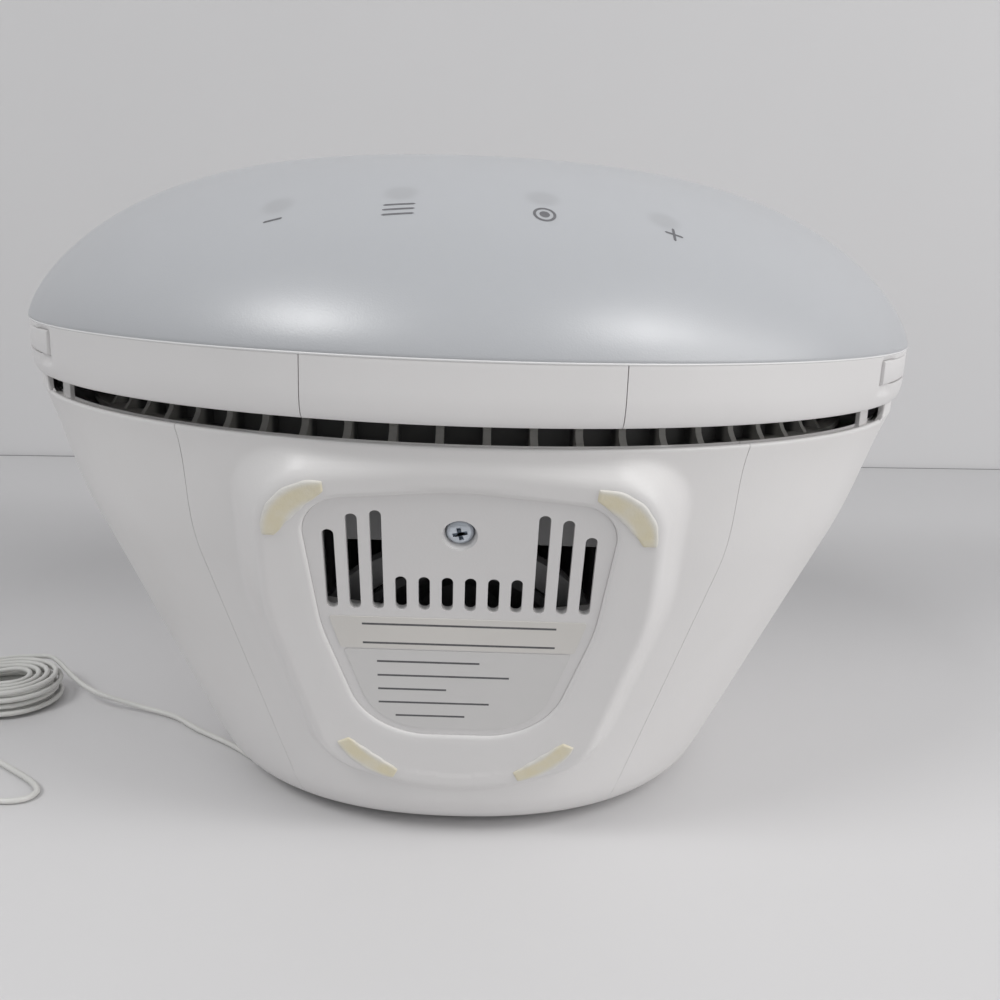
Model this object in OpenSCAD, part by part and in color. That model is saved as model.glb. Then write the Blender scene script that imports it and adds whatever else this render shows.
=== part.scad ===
// Wake-up light with a round frosted dome, drawn lying on its back with the dome facing up.
// Z is the axis of the dome, the slanted standing face looks towards -Y, and the back rests on Z = 0.

/* [Dome] */
// Diameter of the dome at its edge
dome_d = 199; // [190:1:210]
// Height of the dome above its edge
dome_h = 36.3; // [33:0.1:42]
// Thickness of the dome wall
dome_wall = 2.4; // [1.8:0.1:3]
// Height of the dome edge above the surface that the back rests on
edge_z = 102; // [98:0.5:110]
// How far the dome's collar reaches down into the rim
collar_h = 4.5; // [3:0.1:5]

/* [Rim] */
// Height of the rim
rim_h = 10.1; // [9.6:0.1:12]
// Step from the dome's edge in to the rim
rim_set_in = 0.2; // [0:0.1:1]
// How far the rim draws in towards its lower edge
rim_draw_in = 1.1; // [0.5:0.1:2]
// Thickness of the rim's wall
rim_wall = 2.3; // [1.8:0.1:2.8]
// Thickness of the web inside the rim
web_t = 2.2; // [1.6:0.1:2.6]
// Half angle of the separate piece in the bottom of the rim
insert_half = 14.8; // [10:0.1:25]
// Gap at seams between fixed pieces
seam_gap = 0.2; // [0.1:0.05:0.4]

/* [Keys] */
// Half angle of one key
key_half = 17.6; // [14:0.1:17.8]
// Angle from the side of the lamp to the middle of a key
key_mid = 19.8; // [19.6:0.1:21]
// Height of a key
key_h = 4.6; // [3.5:0.1:5]
// Travel of a key
key_travel = 0.8; // [0.4:0.1:1]
// Clearance round a key
key_clear = 0.45; // [0.45:0.05:0.5]
// Thickness of the flange that keeps a key in the rim
key_flange = 1.4; // [1:0.1:1.6]

/* [Vent] */
// Height of the gap between the rim and the housing's lip
vent_gap = 3.6; // [2.5:0.1:5]
// Half angle of the gap
vent_half = 62; // [55:1:75]
// Step from the rim's lower edge in to the lip
vent_set_back = 2.9; // [2:0.1:3.5]
// Step from the lip in to the ribs
rib_set_back = 7.8; // [7.4:0.1:9]
// Depth of a rib
rib_depth = 6.5; // [5:0.1:8]
// Angle between ribs
rib_pitch = 5.3; // [4:0.1:8]
// Angle that one rib fills
rib_fill = 0.9; // [0.6:0.1:1.5]

/* [Housing] */
// Slope of the standing face against the dome's axis
base_tilt = 20; // [17:0.5:22]
// Slope of the sides
side_taper = 24.5; // [21:0.5:25]
// Slope of the upper side
back_taper = 28; // [24:0.5:29]
// Rounding of the edge round the back
foot_round = 12.5; // [10:0.5:13]
// How much larger that rounding is at the front
front_more = 4.5; // [0:0.5:6]
// How square the housing is in section, where 2 is an ellipse
fullness = 2.25; // [2:0.05:2.5]
// Thickness of the housing's wall
wall = 2.5; // [2:0.1:3]
// Thickness of the housing's floor
floor_t = 3.5; // [3:0.1:5]
// Half angle of the panel that carries the standing face
panel_half = 30; // [28:0.5:34]
// Diameter of the posts that carry the inner frame
post_d = 10; // [8:0.5:11]

/* [Standing face] */
// How far the standing face stands proud of the panel
rise = 0.6; // [0.3:0.1:1.5]
// Half width of the standing face
face_half_w = 34; // [33:0.5:36]
// Length of the standing face
face_l = 78; // [76:0.5:80]
// Depth of the block behind the standing face
block_t = 5.5; // [5:0.1:6.5]
// Half width of the inset plate
plate_half_w = 26.6; // [26:0.1:27.5]
// Length of the inset plate
plate_l = 55.5; // [54:0.5:58]
// Thickness of the inset plate
plate_t = 2; // [1.5:0.1:2.4]
// How far the plate lies below the standing face
plate_sink = 0.5; // [0.2:0.1:0.9]
// Plate left beside the outermost slot
slot_margin = 3.6; // [3:0.1:4.2]
// Width of a slot
slot_w = 2; // [1.5:0.1:2.4]
// Thickness of a foot pad
pad_t = 0.8; // [0.6:0.1:1.2]
// How deep a foot pad sits in the face
pad_seat = 0.4; // [0.2:0.1:0.5]
// Diameter of the plate screw's thread
screw_d = 3; // [2.5:0.1:3.5]
// Diameter of the plate screw's head
screw_head_d = 4.8; // [4.4:0.1:5.2]
// Thickness of the stickers
sticker_t = 0.2; // [0.15:0.05:0.3]

/* [Inside] */
// Thickness of the circuit boards
board_t = 1.6; // [1:0.1:2]
// Thickness of the inner frame
frame_t = 2.5; // [2:0.1:3]
// Thickness of the reflector
reflector_t = 1.5; // [1:0.1:2]
// Diameter of the loudspeaker
speaker_d = 56; // [50:1:58]
// Number of light sources
led_count = 24; // [12:2:36]
// Radius of the ring of light sources
led_ring_r = 60; // [55:1:65]
// Height of the main board above the floor
board_lift = 14.5; // [14:0.5:18]
// Width of the connector bay
bay_w = 34; // [30:0.5:36]
// Length of the connector bay
bay_l = 26; // [24:0.5:28]

/* [Antenna] */
// Diameter of the antenna wire
wire_d = 1.3; // [1:0.05:1.35]
// Loops in one layer of the hank
loops = 4; // [2:1:4]
// Length of the straight run of a loop
run_l = 21; // [18:0.5:26]
// Radius of the innermost fold
fold_r = 4.5; // [4.5:0.1:6]
// Distance between loops side by side
loop_step = 2.1; // [2.1:0.05:2.4]
// Distance between layers of loops
layer_step = 1.8; // [1.8:0.05:2.2]
// Share by which the hank is drawn in at its waist
waist = 0.16; // [0:0.01:0.16]

/* [Hidden] */
$fn = 96;

white = [0.93, 0.925, 0.915];
frost = [0.80, 0.82, 0.845];
dark = [0.16, 0.16, 0.16];
cream = [0.90, 0.86, 0.70];
silver_paper = [0.80, 0.80, 0.80];
board_green = [0.10, 0.35, 0.18];
steel = [0.72, 0.73, 0.75];
grey = [0.55, 0.55, 0.56];

// Room that cuts run past a face, and the play between fixed pieces
past = 1;
play = 0.2;
screw_play = 0.1;

// Levels and radii that the pieces share
dome_r = dome_d/2;
dome_in_r = dome_r - dome_wall;
dome_in_h = dome_h - dome_wall;
rim_r = dome_r - rim_set_in;
rim_low_r = rim_r - rim_draw_in;
rim_in_r = rim_r - rim_wall;
rim_low_z = edge_z - rim_h;
lip_z = rim_low_z - vent_gap;
lip_r = rim_low_r - vent_set_back;
side_r = rim_low_r - seam_gap;
key_top_z = edge_z - 1.1;
key_low_z = key_top_z - key_h;
web_top_z = key_low_z - 0.6;
web_low_z = web_top_z - web_t;
rib_r = lip_r - rib_set_back;
rib_in_r = rib_r - rib_depth;
frame_z = lip_z - 6;
rib_low_z = frame_z + frame_t;

// Degrees that a length takes up on a circle
function arc_deg(l, r) = l/r*180/PI;
function reversed(list) = [for (i = [len(list) - 1 : -1 : 0]) list[i]];

// A ring sector with a square section, centred on the direction of +X
module sector(r0, r1, z0, z1, half) {
    rotate(-half)
        rotate_extrude(angle = 2*half)
            translate([r0, z0])
                square([r1 - r0, z1 - z0]);
}

// Dome: a rounded lens whose edge stands almost upright
lens_full = 3;
lens_edge = 1.45;
lens_steps = 24;
collar_half = 49;

function lens(r, h) = [
    for (i = [0 : lens_steps])
        let (t = 90*i/lens_steps)
        [r*pow(cos(t), 2/lens_full), edge_z + h*pow(sin(t), 2/lens_edge)]
];
function dome_inside_z(r) =
    edge_z + dome_in_h*pow(1 - pow(r/dome_in_r, lens_full), 1/lens_edge);

module diffuser_dome() {
    collar_r = rim_in_r - play;
    color(frost) {
        rotate_extrude()
            polygon(concat(lens(dome_r, dome_h), reversed(lens(dome_in_r, dome_in_h))));
        for (a = [-90, 90])
            rotate(a)
                sector(collar_r - 1.7, collar_r, edge_z - collar_h, edge_z + 4, collar_half);
    }
}

// Rim: an upright band whose lower half curves in, with a web that carries the light
rim_straight = 5.2;
rim_steps = 6;
insert_gap_deg = arc_deg(seam_gap, rim_r);
insert_cut_r = rim_in_r - 0.4;

function rim_outside() = [
    for (i = [rim_steps : -1 : 0])
        let (t = 90*i/rim_steps)
        [rim_r - rim_draw_in*(1 - cos(t)), edge_z - rim_straight - (rim_h - rim_straight)*sin(t)]
];

module rim_ring() {
    skirt_r = rim_low_r - rim_wall;
    profile = concat(
        [[rib_in_r, web_low_z], [skirt_r, web_low_z], [skirt_r, rim_low_z]],
        rim_outside(),
        [[rim_r, edge_z], [rim_in_r, edge_z], [rim_in_r, web_top_z], [rib_in_r, web_top_z]]
    );
    color(white)
        difference() {
            rotate_extrude()
                polygon(profile);
            rotate(-90)
                sector(insert_cut_r, dome_r + past, rim_low_z - past, edge_z + past, insert_half);
            for (side = [0, 180], up = [-1, 1])
                rotate(side + up*key_mid)
                    translate([key_board_r, -key_w/2 - key_clear, key_low_z - key_clear])
                        cube([dome_r, key_w + 2*key_clear, key_h + 2*key_clear]);
        }
}

module rim_lower_insert() {
    half = insert_half - insert_gap_deg;
    in_r = rim_in_r;
    color(white)
        rotate(-90 - half)
            rotate_extrude(angle = 2*half)
                polygon(concat(
                    [[in_r, rim_low_z]], rim_outside(), [[rim_r, edge_z], [in_r, edge_z]]));
}

// Keys: each slides in along its middle, to which its ends run parallel, and a flange behind the
// rim's wall keeps it in
key_lap = 0.3;
key_end_lap = 0.8;
key_rest_gap = 0.4;
key_in_r = rim_in_r - key_rest_gap - key_flange;
key_w = 2*rim_r*sin(key_half);

module key_arc(r0, r1, z0, z1, w) {
    intersection() {
        sector(r0, r1, z0, z1, 2*key_half);
        translate([0, -w/2, z0 - past])
            cube([r1 + past, w, z1 - z0 + 2*past]);
    }
}

module key(angle) {
    color(white)
        rotate(angle) {
            key_arc(key_in_r + key_flange/2, rim_r, key_low_z, key_top_z, key_w);
            key_arc(key_in_r, key_in_r + key_flange, key_low_z - key_lap, key_top_z + key_lap,
                key_w + 2*key_end_lap);
        }
}

module left_upper_key() { key(180 - key_mid); }
module left_lower_key() { key(180 + key_mid); }
module right_upper_key() { key(key_mid); }
module right_lower_key() { key(-key_mid); }

// Vent ribs: a channel that opens outwards, crossed by hollow-edged ribs at the front and back
rib_plate = 1.2;
rib_hollow = 2.2;
rib_steps = 8;

module vent_rib_ring() {
    out_r = rib_r - 0.3;
    low = rib_low_z + rib_plate/2;
    high = web_low_z - rib_plate/2;
    rib = concat(
        [[rib_in_r + rib_plate/2, high], [rib_in_r + rib_plate/2, low]],
        [for (i = [0 : rib_steps])
            [out_r - rib_hollow*sin(180*i/rib_steps), low + (high - low)*i/rib_steps]]
    );
    channel = [
        [rib_in_r, rib_low_z], [rib_r, rib_low_z], [rib_r, rib_low_z + rib_plate],
        [rib_in_r + rib_plate, rib_low_z + rib_plate], [rib_in_r + rib_plate, web_low_z - rib_plate],
        [rib_r, web_low_z - rib_plate], [rib_r, web_low_z], [rib_in_r, web_low_z]
    ];
    half_count = floor(vent_half/rib_pitch);
    color(dark) {
        rotate_extrude()
            polygon(channel);
        for (side = [-90, 90], i = [-half_count : half_count - 1])
            rotate(side + (i + 0.5)*rib_pitch - rib_fill/2)
                rotate_extrude(angle = rib_fill)
                    polygon(rib);
    }
}

// Housing: rounded sections that taper from the lip to a flat back
lip_round = 1.2;
blend_h = 25;
wall_steps = 56;
panel_steps = 14;

function section_power(z) =
    let (t = min(1, max(0, (lip_z - z)/blend_h)))
    2 + (fullness - 2)*t*t*(3 - 2*t);

// Distance of a wall from the axis at height z, with the rounding above its floor
function reach(z, low_z, top_r, taper, round_r) =
    let (low_r = top_r - (lip_z - low_z)*tan(taper))
    let (h = z - low_z)
    h < round_r*(1 - sin(taper))
        ? low_r - round_r*tan(45 - taper/2) + sqrt(max(0, round_r*round_r - pow(round_r - h, 2)))
        : low_r + h*tan(taper);

// One level of the skin is [height, inset], and in_by is the wall between the two skins
function ring(level, low_z, in_by, round_r, angles) =
    let (k = 2/section_power(level[0]))
    let (rx = reach(level[0], low_z, side_r - in_by/cos(side_taper), side_taper, round_r) - level[1])
    let (front_round = round_r + front_more)
    let (rf = reach(level[0], low_z, lip_r - in_by/cos(base_tilt), base_tilt, front_round) - level[1])
    let (rb = reach(level[0], low_z, lip_r - in_by/cos(back_taper), back_taper, round_r) - level[1])
    [for (a = angles)
        [rx*sign(cos(a))*pow(abs(cos(a)), k),
         (sin(a) < 0 ? rf : rb)*sign(sin(a))*pow(abs(sin(a)), k),
         level[0]]];
function outer_ring(level, angles) = ring(level, 0, 0, foot_round, angles);
function inner_ring(level, angles) = ring(level, floor_t, wall, foot_round - floor_t, angles);

function skin_levels(low_z, round_r, lip) = concat(
    [for (t = [0, 20, 40, 55]) [low_z + round_r*(1 - cos(t)), 0]],
    [for (i = [0 : 2]) [low_z + 0.7*round_r + (lip_z - blend_h - low_z - 0.7*round_r)*i/2, 0]],
    [for (i = [1 : 4]) [lip_z - blend_h + (blend_h - lip_round)*i/4, 0]],
    [for (t = [30, 60, 90]) [lip_z - lip_round*(1 - sin(t)), lip*lip_round*(1 - cos(t))]]
);
outer_levels = skin_levels(0, foot_round, 1);
inner_levels = skin_levels(floor_t, foot_round - floor_t, 0);
top = len(outer_levels) - 1;

// Two triangles of a four-cornered patch
function patch(a, b, c, d) = [[a, b, c], [a, c, d]];
function quilt(patches) = [for (p = patches) each p];

module housing_shell() {
    wall_angles = [for (i = [0 : wall_steps]) panel_half - 90 + (360 - 2*panel_half)*i/wall_steps];
    sill_angles = [for (i = [1 : panel_steps - 1]) -panel_half - 90 + 2*panel_half*i/panel_steps];
    angles = concat(wall_angles, sill_angles);
    m = wall_steps;
    full = len(angles);
    function row(j) = j < 2 ? j*full : 2*full + (j - 2)*(m + 1);
    skin = row(top + 1);
    function out(j, i) = row(j) + i%full;
    function inn(j, i) = skin + row(j) + i%full;
    points = [
        for (j = [0 : top]) each outer_ring(outer_levels[j], j < 2 ? angles : wall_angles),
        for (j = [0 : top]) each inner_ring(inner_levels[j], j < 2 ? angles : wall_angles)
    ];
    faces = concat(
        [[for (i = [0 : full - 1]) out(0, i)], [for (i = [full - 1 : -1 : 0]) inn(0, i)]],
        quilt([for (j = [0 : top - 1], i = [0 : m - 1])
            patch(out(j, i), out(j + 1, i), out(j + 1, i + 1), out(j, i + 1))]),
        quilt([for (j = [0 : top - 1], i = [0 : m - 1])
            patch(inn(j, i), inn(j, i + 1), inn(j + 1, i + 1), inn(j + 1, i))]),
        quilt([for (i = [m : full - 1])
            patch(out(0, i), out(1, i), out(1, i + 1), out(0, i + 1))]),
        quilt([for (i = [m : full - 1])
            patch(inn(0, i), inn(0, i + 1), inn(1, i + 1), inn(1, i))]),
        quilt([for (i = [0 : m - 1])
            patch(out(top, i), inn(top, i), inn(top, i + 1), out(top, i + 1))]),
        quilt([for (i = [m : full - 1])
            patch(out(1, i), inn(1, i), inn(1, i + 1), out(1, i + 1))]),
        quilt([for (j = [1 : top - 1])
            patch(out(j, 0), inn(j, 0), inn(j + 1, 0), out(j + 1, 0))]),
        quilt([for (j = [1 : top - 1])
            patch(out(j, m), out(j + 1, m), inn(j + 1, m), inn(j, m))])
    );
    polyhedron(points, faces);
}

// The panel continues the housing's skin across the opening at the front
module panel_shell() {
    half = panel_half - arc_deg(seam_gap, lip_r);
    angles = [for (i = [0 : panel_steps]) -half - 90 + 2*half*i/panel_steps];
    n = panel_steps + 1;
    levels = top;
    function raised(list) = [for (j = [1 : top]) j == 1 ? [list[1][0] + seam_gap, 0] : list[j]];
    function out(j, i) = j*n + i;
    function inn(j, i) = (levels + j)*n + i;
    points = [
        for (level = raised(outer_levels)) each outer_ring(level, angles),
        for (level = raised(inner_levels)) each inner_ring(level, angles)
    ];
    last = levels - 1;
    faces = concat(
        quilt([for (j = [0 : last - 1], i = [0 : n - 2])
            patch(out(j, i), out(j + 1, i), out(j + 1, i + 1), out(j, i + 1))]),
        quilt([for (j = [0 : last - 1], i = [0 : n - 2])
            patch(inn(j, i), inn(j, i + 1), inn(j + 1, i + 1), inn(j + 1, i))]),
        quilt([for (i = [0 : n - 2])
            patch(out(last, i), inn(last, i), inn(last, i + 1), out(last, i + 1))]),
        quilt([for (i = [0 : n - 2])
            patch(out(0, i), out(0, i + 1), inn(0, i + 1), inn(0, i))]),
        quilt([for (j = [0 : last - 1])
            patch(out(j, 0), inn(j, 0), inn(j + 1, 0), out(j + 1, 0))]),
        quilt([for (j = [0 : last - 1])
            patch(out(j, n - 1), out(j + 1, n - 1), inn(j + 1, n - 1), inn(j, n - 1))])
    );
    polyhedron(points, faces);
}

post_at = [34, 18];
post_bore_d = 2.6;
post_bore_l = 20;
board_post_d = 6.4;
board_post_at = [[-22, -6], [22, -6], [-22, 28], [22, 28]];
board_bore_d = 2;
board_z = floor_t + board_lift;
bay_y = 5;
groove_y = -36;
groove_w = 3;
groove_h = 2.4;
groove_end = -20;
// Necks that close the gap at the sides, and struts just inside its ends
neck_t = 1;
strut_in = 6;
strut_half = 2.2;
strut_r = rim_in_r - 1.6;
strut_t = 2.2;
strut_top = rim_low_z + 0.8;

function corners(p) = [for (x = [-1, 1], y = [-1, 1]) [x*p[0], y*p[1]]];

module rear_housing() {
    color(white)
        difference() {
            union() {
                housing_shell();
                for (p = corners(post_at))
                    translate([p[0], p[1], floor_t/2])
                        cylinder(d = post_d, h = frame_z - floor_t/2);
                for (p = board_post_at)
                    translate([p[0], p[1], floor_t/2])
                        cylinder(d = board_post_d, h = board_z - floor_t/2);
                for (side = [0, 180])
                    rotate(side)
                        sector(side_r - wall, side_r - wall + neck_t, lip_z - lip_round, rim_low_z,
                            90 - vent_half);
                for (side = [-90, 90], turn = [-1, 1])
                    rotate(side + turn*(vent_half - strut_in))
                        sector(strut_r - strut_t, strut_r, lip_z - 2*lip_round, strut_top, strut_half);
            }
            for (p = corners(post_at))
                translate([p[0], p[1], frame_z - post_bore_l])
                    cylinder(d = post_bore_d, h = post_bore_l + past);
            for (p = board_post_at)
                translate([p[0], p[1], floor_t + past])
                    cylinder(d = board_bore_d, h = board_lift);
            translate([-bay_w/2 - play, bay_y - bay_l/2 - play, -past])
                cube([bay_w + 2*play, bay_l + 2*play, floor_t + 2*past]);
            translate([-dome_r, groove_y - groove_w/2, -past])
                cube([dome_r + groove_end, groove_w, past + groove_h]);
        }
}

// Standing face: a flat raised block on the panel, in whose frame x runs across, y up and z outwards
face_drop = 6.3;
face_top = 3.6;
face_low = face_top - face_l;
plate_top = -2.1;
plate_low = plate_top - plate_l;
plate_face = -plate_sink;
plate_back = plate_face - plate_t;
plate_mid = -31;

module on_face() {
    translate([0, -(lip_r - face_drop*tan(base_tilt)), lip_z - face_drop])
        rotate([90 + base_tilt, 0, 0])
            translate([0, 0, rise])
                children();
}

// A slab on the standing face between two depths
module slab(outline, low, high) {
    translate([0, 0, low])
        linear_extrude(high - low)
            polygon(outline);
}

// An outline with round corners, from points [x, y, radius]
corner_steps = 6;
function round_corner(p, q, s) =
    let (u = [p[0] - q[0], p[1] - q[1]]/norm([p[0] - q[0], p[1] - q[1]]))
    let (v = [s[0] - q[0], s[1] - q[1]]/norm([s[0] - q[0], s[1] - q[1]]))
    let (half = acos(u*v)/2)
    let (c = [q[0], q[1]] + (u + v)/norm(u + v)*q[2]/sin(half))
    let (from = [q[0], q[1]] + u*q[2]/tan(half) - c)
    let (to = [q[0], q[1]] + v*q[2]/tan(half) - c)
    let (a = atan2(from[1], from[0]))
    let (sweep = (atan2(to[1], to[0]) - a + 540)%360 - 180)
    [for (i = [0 : corner_steps])
        c + q[2]*[cos(a + sweep*i/corner_steps), sin(a + sweep*i/corner_steps)]];
function rounded(pts) = [
    for (i = [0 : len(pts) - 1])
        each round_corner(pts[(i + len(pts) - 1)%len(pts)], pts[i], pts[(i + 1)%len(pts)])
];

function face_outline(g) = rounded([
    [0, face_top + g, 80],
    [face_half_w - 0.2 + g, face_top - 3.4 + g, 10.5 + g],
    [face_half_w + 0.4 + g, -27, 60],
    [face_half_w - 8.8 + g, face_low + 8.4 - g, 13 + g],
    [0, face_low - 1 - g, 42],
    [8.8 - face_half_w - g, face_low + 8.4 - g, 13 + g],
    [-0.4 - face_half_w - g, -27, 60],
    [0.2 - face_half_w - g, face_top - 3.4 + g, 10.5 + g]
]);
function plate_outline(g) = rounded([
    [0, plate_top + 0.2 + g, 60],
    [plate_half_w + 0.2 + g, plate_top - 2.3 + g, 7 + g],
    [plate_half_w - 2.4 + g, plate_mid, 40],
    [plate_half_w - 10.1 + g, plate_low - g, 15 + g],
    [10.1 - plate_half_w - g, plate_low - g, 15 + g],
    [2.4 - plate_half_w - g, plate_mid, 40],
    [-0.2 - plate_half_w - g, plate_top - 2.3 + g, 7 + g]
]);

// Slots from the middle outwards: where each begins, and where all end
slot_tops = [-19.5, -19.5, -19.5, -6, -6.8, -10.1];
slot_low = -26.9;
slot_count = len(slot_tops);
slot_pitch = (plate_half_w - slot_margin - slot_w/2)/(slot_count - 0.5);
window_half = (slot_count - 0.5)*slot_pitch + slot_w/2 + 0.6;

function window_outline() = rounded([
    [-window_half, slot_low - 1.2, 1], [window_half, slot_low - 1.2, 1],
    [window_half, slot_tops[5] + 0.6, 1], [window_half - slot_pitch, -4.9, 1],
    [slot_pitch - window_half, -4.9, 1], [-window_half, slot_tops[5] + 0.6, 1]
]);

// Foot pads hug the corners of the plate: centre, radii and angles of each on the right
pads = [[21.8, -11.2, 7.7, 11.6, 0, 88], [4, -50, 17.4, 21.8, -67, -27]];
module pad_shapes(low, high, g) {
    for (p = pads, side = [0, 1])
        mirror([side, 0, 0])
            translate([p[0], p[1], 0])
                rotate((p[4] + p[5])/2)
                    sector(p[2] - g, p[3] + g, low, high, (p[5] - p[4])/2 + arc_deg(g, p[2]));
}

screw_v = -10.6;
screw_seat = plate_back - 0.2;
screw_boss_t = 2;
screw_l = 8;
boss_r = 4;
boss_top = plate_back - screw_boss_t - play;
boss_low = screw_seat - screw_l - 1;

module base_shell() {
    color(white)
        difference() {
            union() {
                difference() {
                    union() {
                        panel_shell();
                        on_face() slab(face_outline(0), -block_t, 0);
                    }
                    on_face() slab(face_outline(-2.2), -8*block_t, -block_t);
                    on_face() slab(plate_outline(play), plate_back, past);
                    on_face() slab(window_outline(), -block_t - past, 0);
                    on_face() pad_shapes(-pad_seat, past, screw_play);
                }
                on_face()
                    translate([-boss_r, screw_v - boss_r, boss_low])
                        cube([2*boss_r, boss_r - screw_v + plate_top + 0.5, boss_top - boss_low]);
            }
            on_face()
                translate([0, screw_v, boss_low - past])
                    cylinder(d = screw_d + 2*screw_play, h = boss_top - boss_low + 2*past);
        }
}

module base_plate() {
    color(white)
        on_face()
            difference() {
                union() {
                    slab(plate_outline(0), plate_back, plate_face);
                    translate([0, screw_v, plate_back - screw_boss_t])
                        cylinder(r = boss_r, h = screw_boss_t + plate_t/2);
                }
                for (i = [0 : slot_count - 1], side = [-1, 1])
                    translate([side*(i + 0.5)*slot_pitch, 0, plate_back - past])
                        linear_extrude(plate_t + 2*past) {
                            translate([0, slot_tops[i] - slot_w/2]) circle(d = slot_w);
                            translate([0, slot_low + slot_w/2]) circle(d = slot_w);
                            translate([-slot_w/2, slot_low + slot_w/2])
                                square([slot_w, slot_tops[i] - slot_low - slot_w]);
                        }
                translate([0, screw_v, screw_seat])
                    cylinder(d = screw_head_d + 1.2, h = 2*plate_t);
                translate([0, screw_v, plate_back - screw_boss_t - past])
                    cylinder(d = screw_d + 2*play, h = screw_boss_t + 2*past);
            }
}

module cross_screw(head_d, head_h, thread_d, l) {
    difference() {
        union() {
            translate([0, 0, -l]) cylinder(d = thread_d, h = l + head_h/4);
            cylinder(d = head_d, h = 0.6*head_h);
            translate([0, 0, 0.6*head_h]) cylinder(d1 = head_d, d2 = 0.7*head_d, h = 0.4*head_h);
        }
        for (a = [0, 90])
            rotate(a)
                translate([-0.28*head_d, -0.08*head_d, 0.45*head_h])
                    cube([0.56*head_d, 0.16*head_d, head_h]);
    }
}

module base_screw() {
    color(steel)
        on_face()
            translate([0, screw_v, screw_seat])
                cross_screw(screw_head_d, 1.6, screw_d, screw_l);
}

module foot_pads() {
    color(cream)
        on_face()
            pad_shapes(-pad_seat, pad_t - pad_seat, 0);
}

strip_top = slot_low - 1.7;
strip_low = strip_top - 7.3;

module serial_strip() {
    color(cream)
        on_face()
            slab(rounded([
                [-plate_half_w + 3.8, strip_top, 0.5], [plate_half_w - 3.8, strip_top, 0.5],
                [plate_half_w - 5.6, strip_low, 0.5], [5.6 - plate_half_w, strip_low, 0.5]
            ]), plate_face, plate_face + sticker_t);
}

module rating_label() {
    color(silver_paper)
        on_face()
            slab(rounded([
                [6.1 - plate_half_w, strip_low - 0.3, 0.5], [plate_half_w - 6.1, strip_low - 0.3, 0.5],
                [plate_half_w - 11.7, plate_low + 1.6, 12], [11.7 - plate_half_w, plate_low + 1.6, 12]
            ]), plate_face, plate_face + sticker_t);
}

// Light source and display under the dome
key_board_r = rim_in_r - 7;
reflector_r = key_board_r - board_t - 0.4;
reflector_top = web_top_z + reflector_t;
touch_row = dome_r - 26.5;
touch_out = 0.332*dome_r;
touch_in = 0.12*dome_r;
touch_edge = 5;
pillar_d = 6;
pillar_at = [touch_out - 8, touch_row];
touch_z = edge_z + 8;
touch_at = [
    [-touch_out, 1 - touch_row], [-touch_in, -touch_row],
    [touch_in, -touch_row], [touch_out, 1 - touch_row]
];
touch_d = 7;
display_z = edge_z + 14;

module reflector() {
    color(white) {
        rotate_extrude()
            polygon([
                [15, web_top_z], [reflector_r, web_top_z], [reflector_r, web_top_z + 8],
                [reflector_r - reflector_t, web_top_z + 8], [reflector_r - reflector_t, reflector_top],
                [15, reflector_top]
            ]);
        for (side = [-1, 1])
            translate([side*pillar_at[0], -pillar_at[1], web_top_z + reflector_t/2])
                cylinder(d = pillar_d, h = touch_z - web_top_z - reflector_t/2);
    }
}

module led_board() {
    color(silver_paper)
        translate([0, 0, reflector_top])
            difference() {
                cylinder(r = led_ring_r + 11, h = board_t);
                translate([0, 0, -past]) cylinder(r = led_ring_r - 12, h = board_t + 2*past);
            }
}

module leds() {
    size = 3.5;
    color(cream)
        for (i = [0 : led_count - 1])
            rotate(360*i/led_count)
                translate([led_ring_r - size/2, -size/2, reflector_top + board_t])
                    cube([size, size, 1.2]);
}

module display_carrier() {
    color(grey)
        translate([0, 0, reflector_top])
            difference() {
                cylinder(r = 24, h = display_z - reflector_top);
                translate([0, 0, -past]) cylinder(r = 22, h = display_z - reflector_top + 2*past);
            }
}

module display_module() {
    color(dark)
        translate([-33, -14, display_z])
            cube([66, 28, 9]);
}

module touch_board() {
    color(board_green)
        translate([-touch_out - touch_edge, -touch_row - touch_edge, touch_z])
            cube([2*(touch_out + touch_edge), touch_d + touch_edge, board_t]);
}

module touch_posts() {
    color(grey)
        for (p = touch_at)
            translate([p[0], p[1], touch_z + board_t])
                cylinder(d = touch_d,
                    h = dome_inside_z(norm(p) + touch_d/2) - touch_z - board_t - 0.3);
}

// Switches behind the keys
key_board_h = 5.3;
switch_size = 4;
switch_y = 16;
switch_h = 2;
plunger_h = 0.7;

module key_board(side) {
    color(board_green)
        translate([side > 0 ? key_board_r - board_t : -key_board_r, -20, web_top_z])
            cube([board_t, 40, key_board_h]);
}

module key_board_left() { key_board(-1); }
module key_board_right() { key_board(1); }

module key_switches() {
    color(dark)
        for (side = [0, 180], y = [-switch_y, switch_y])
            rotate(side)
                translate([key_board_r, y, web_top_z + key_board_h/2]) {
                    translate([0, -switch_size/2, -switch_size/2])
                        cube([switch_h, switch_size, switch_size]);
                    rotate([0, 90, 0])
                        cylinder(d = 2, h = switch_h + plunger_h);
                }
}

// Inner frame on the posts of the housing, notched where the screw boss of the panel reaches in
frame_r = rib_r - 1;
boss_play = 0.8;
boss_v = (frame_z - lip_z + face_drop + sin(base_tilt)*(boss_low + rise))/cos(base_tilt);
boss_y = face_drop*tan(base_tilt) - lip_r - sin(base_tilt)*boss_v - cos(base_tilt)*(boss_low + rise);

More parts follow.
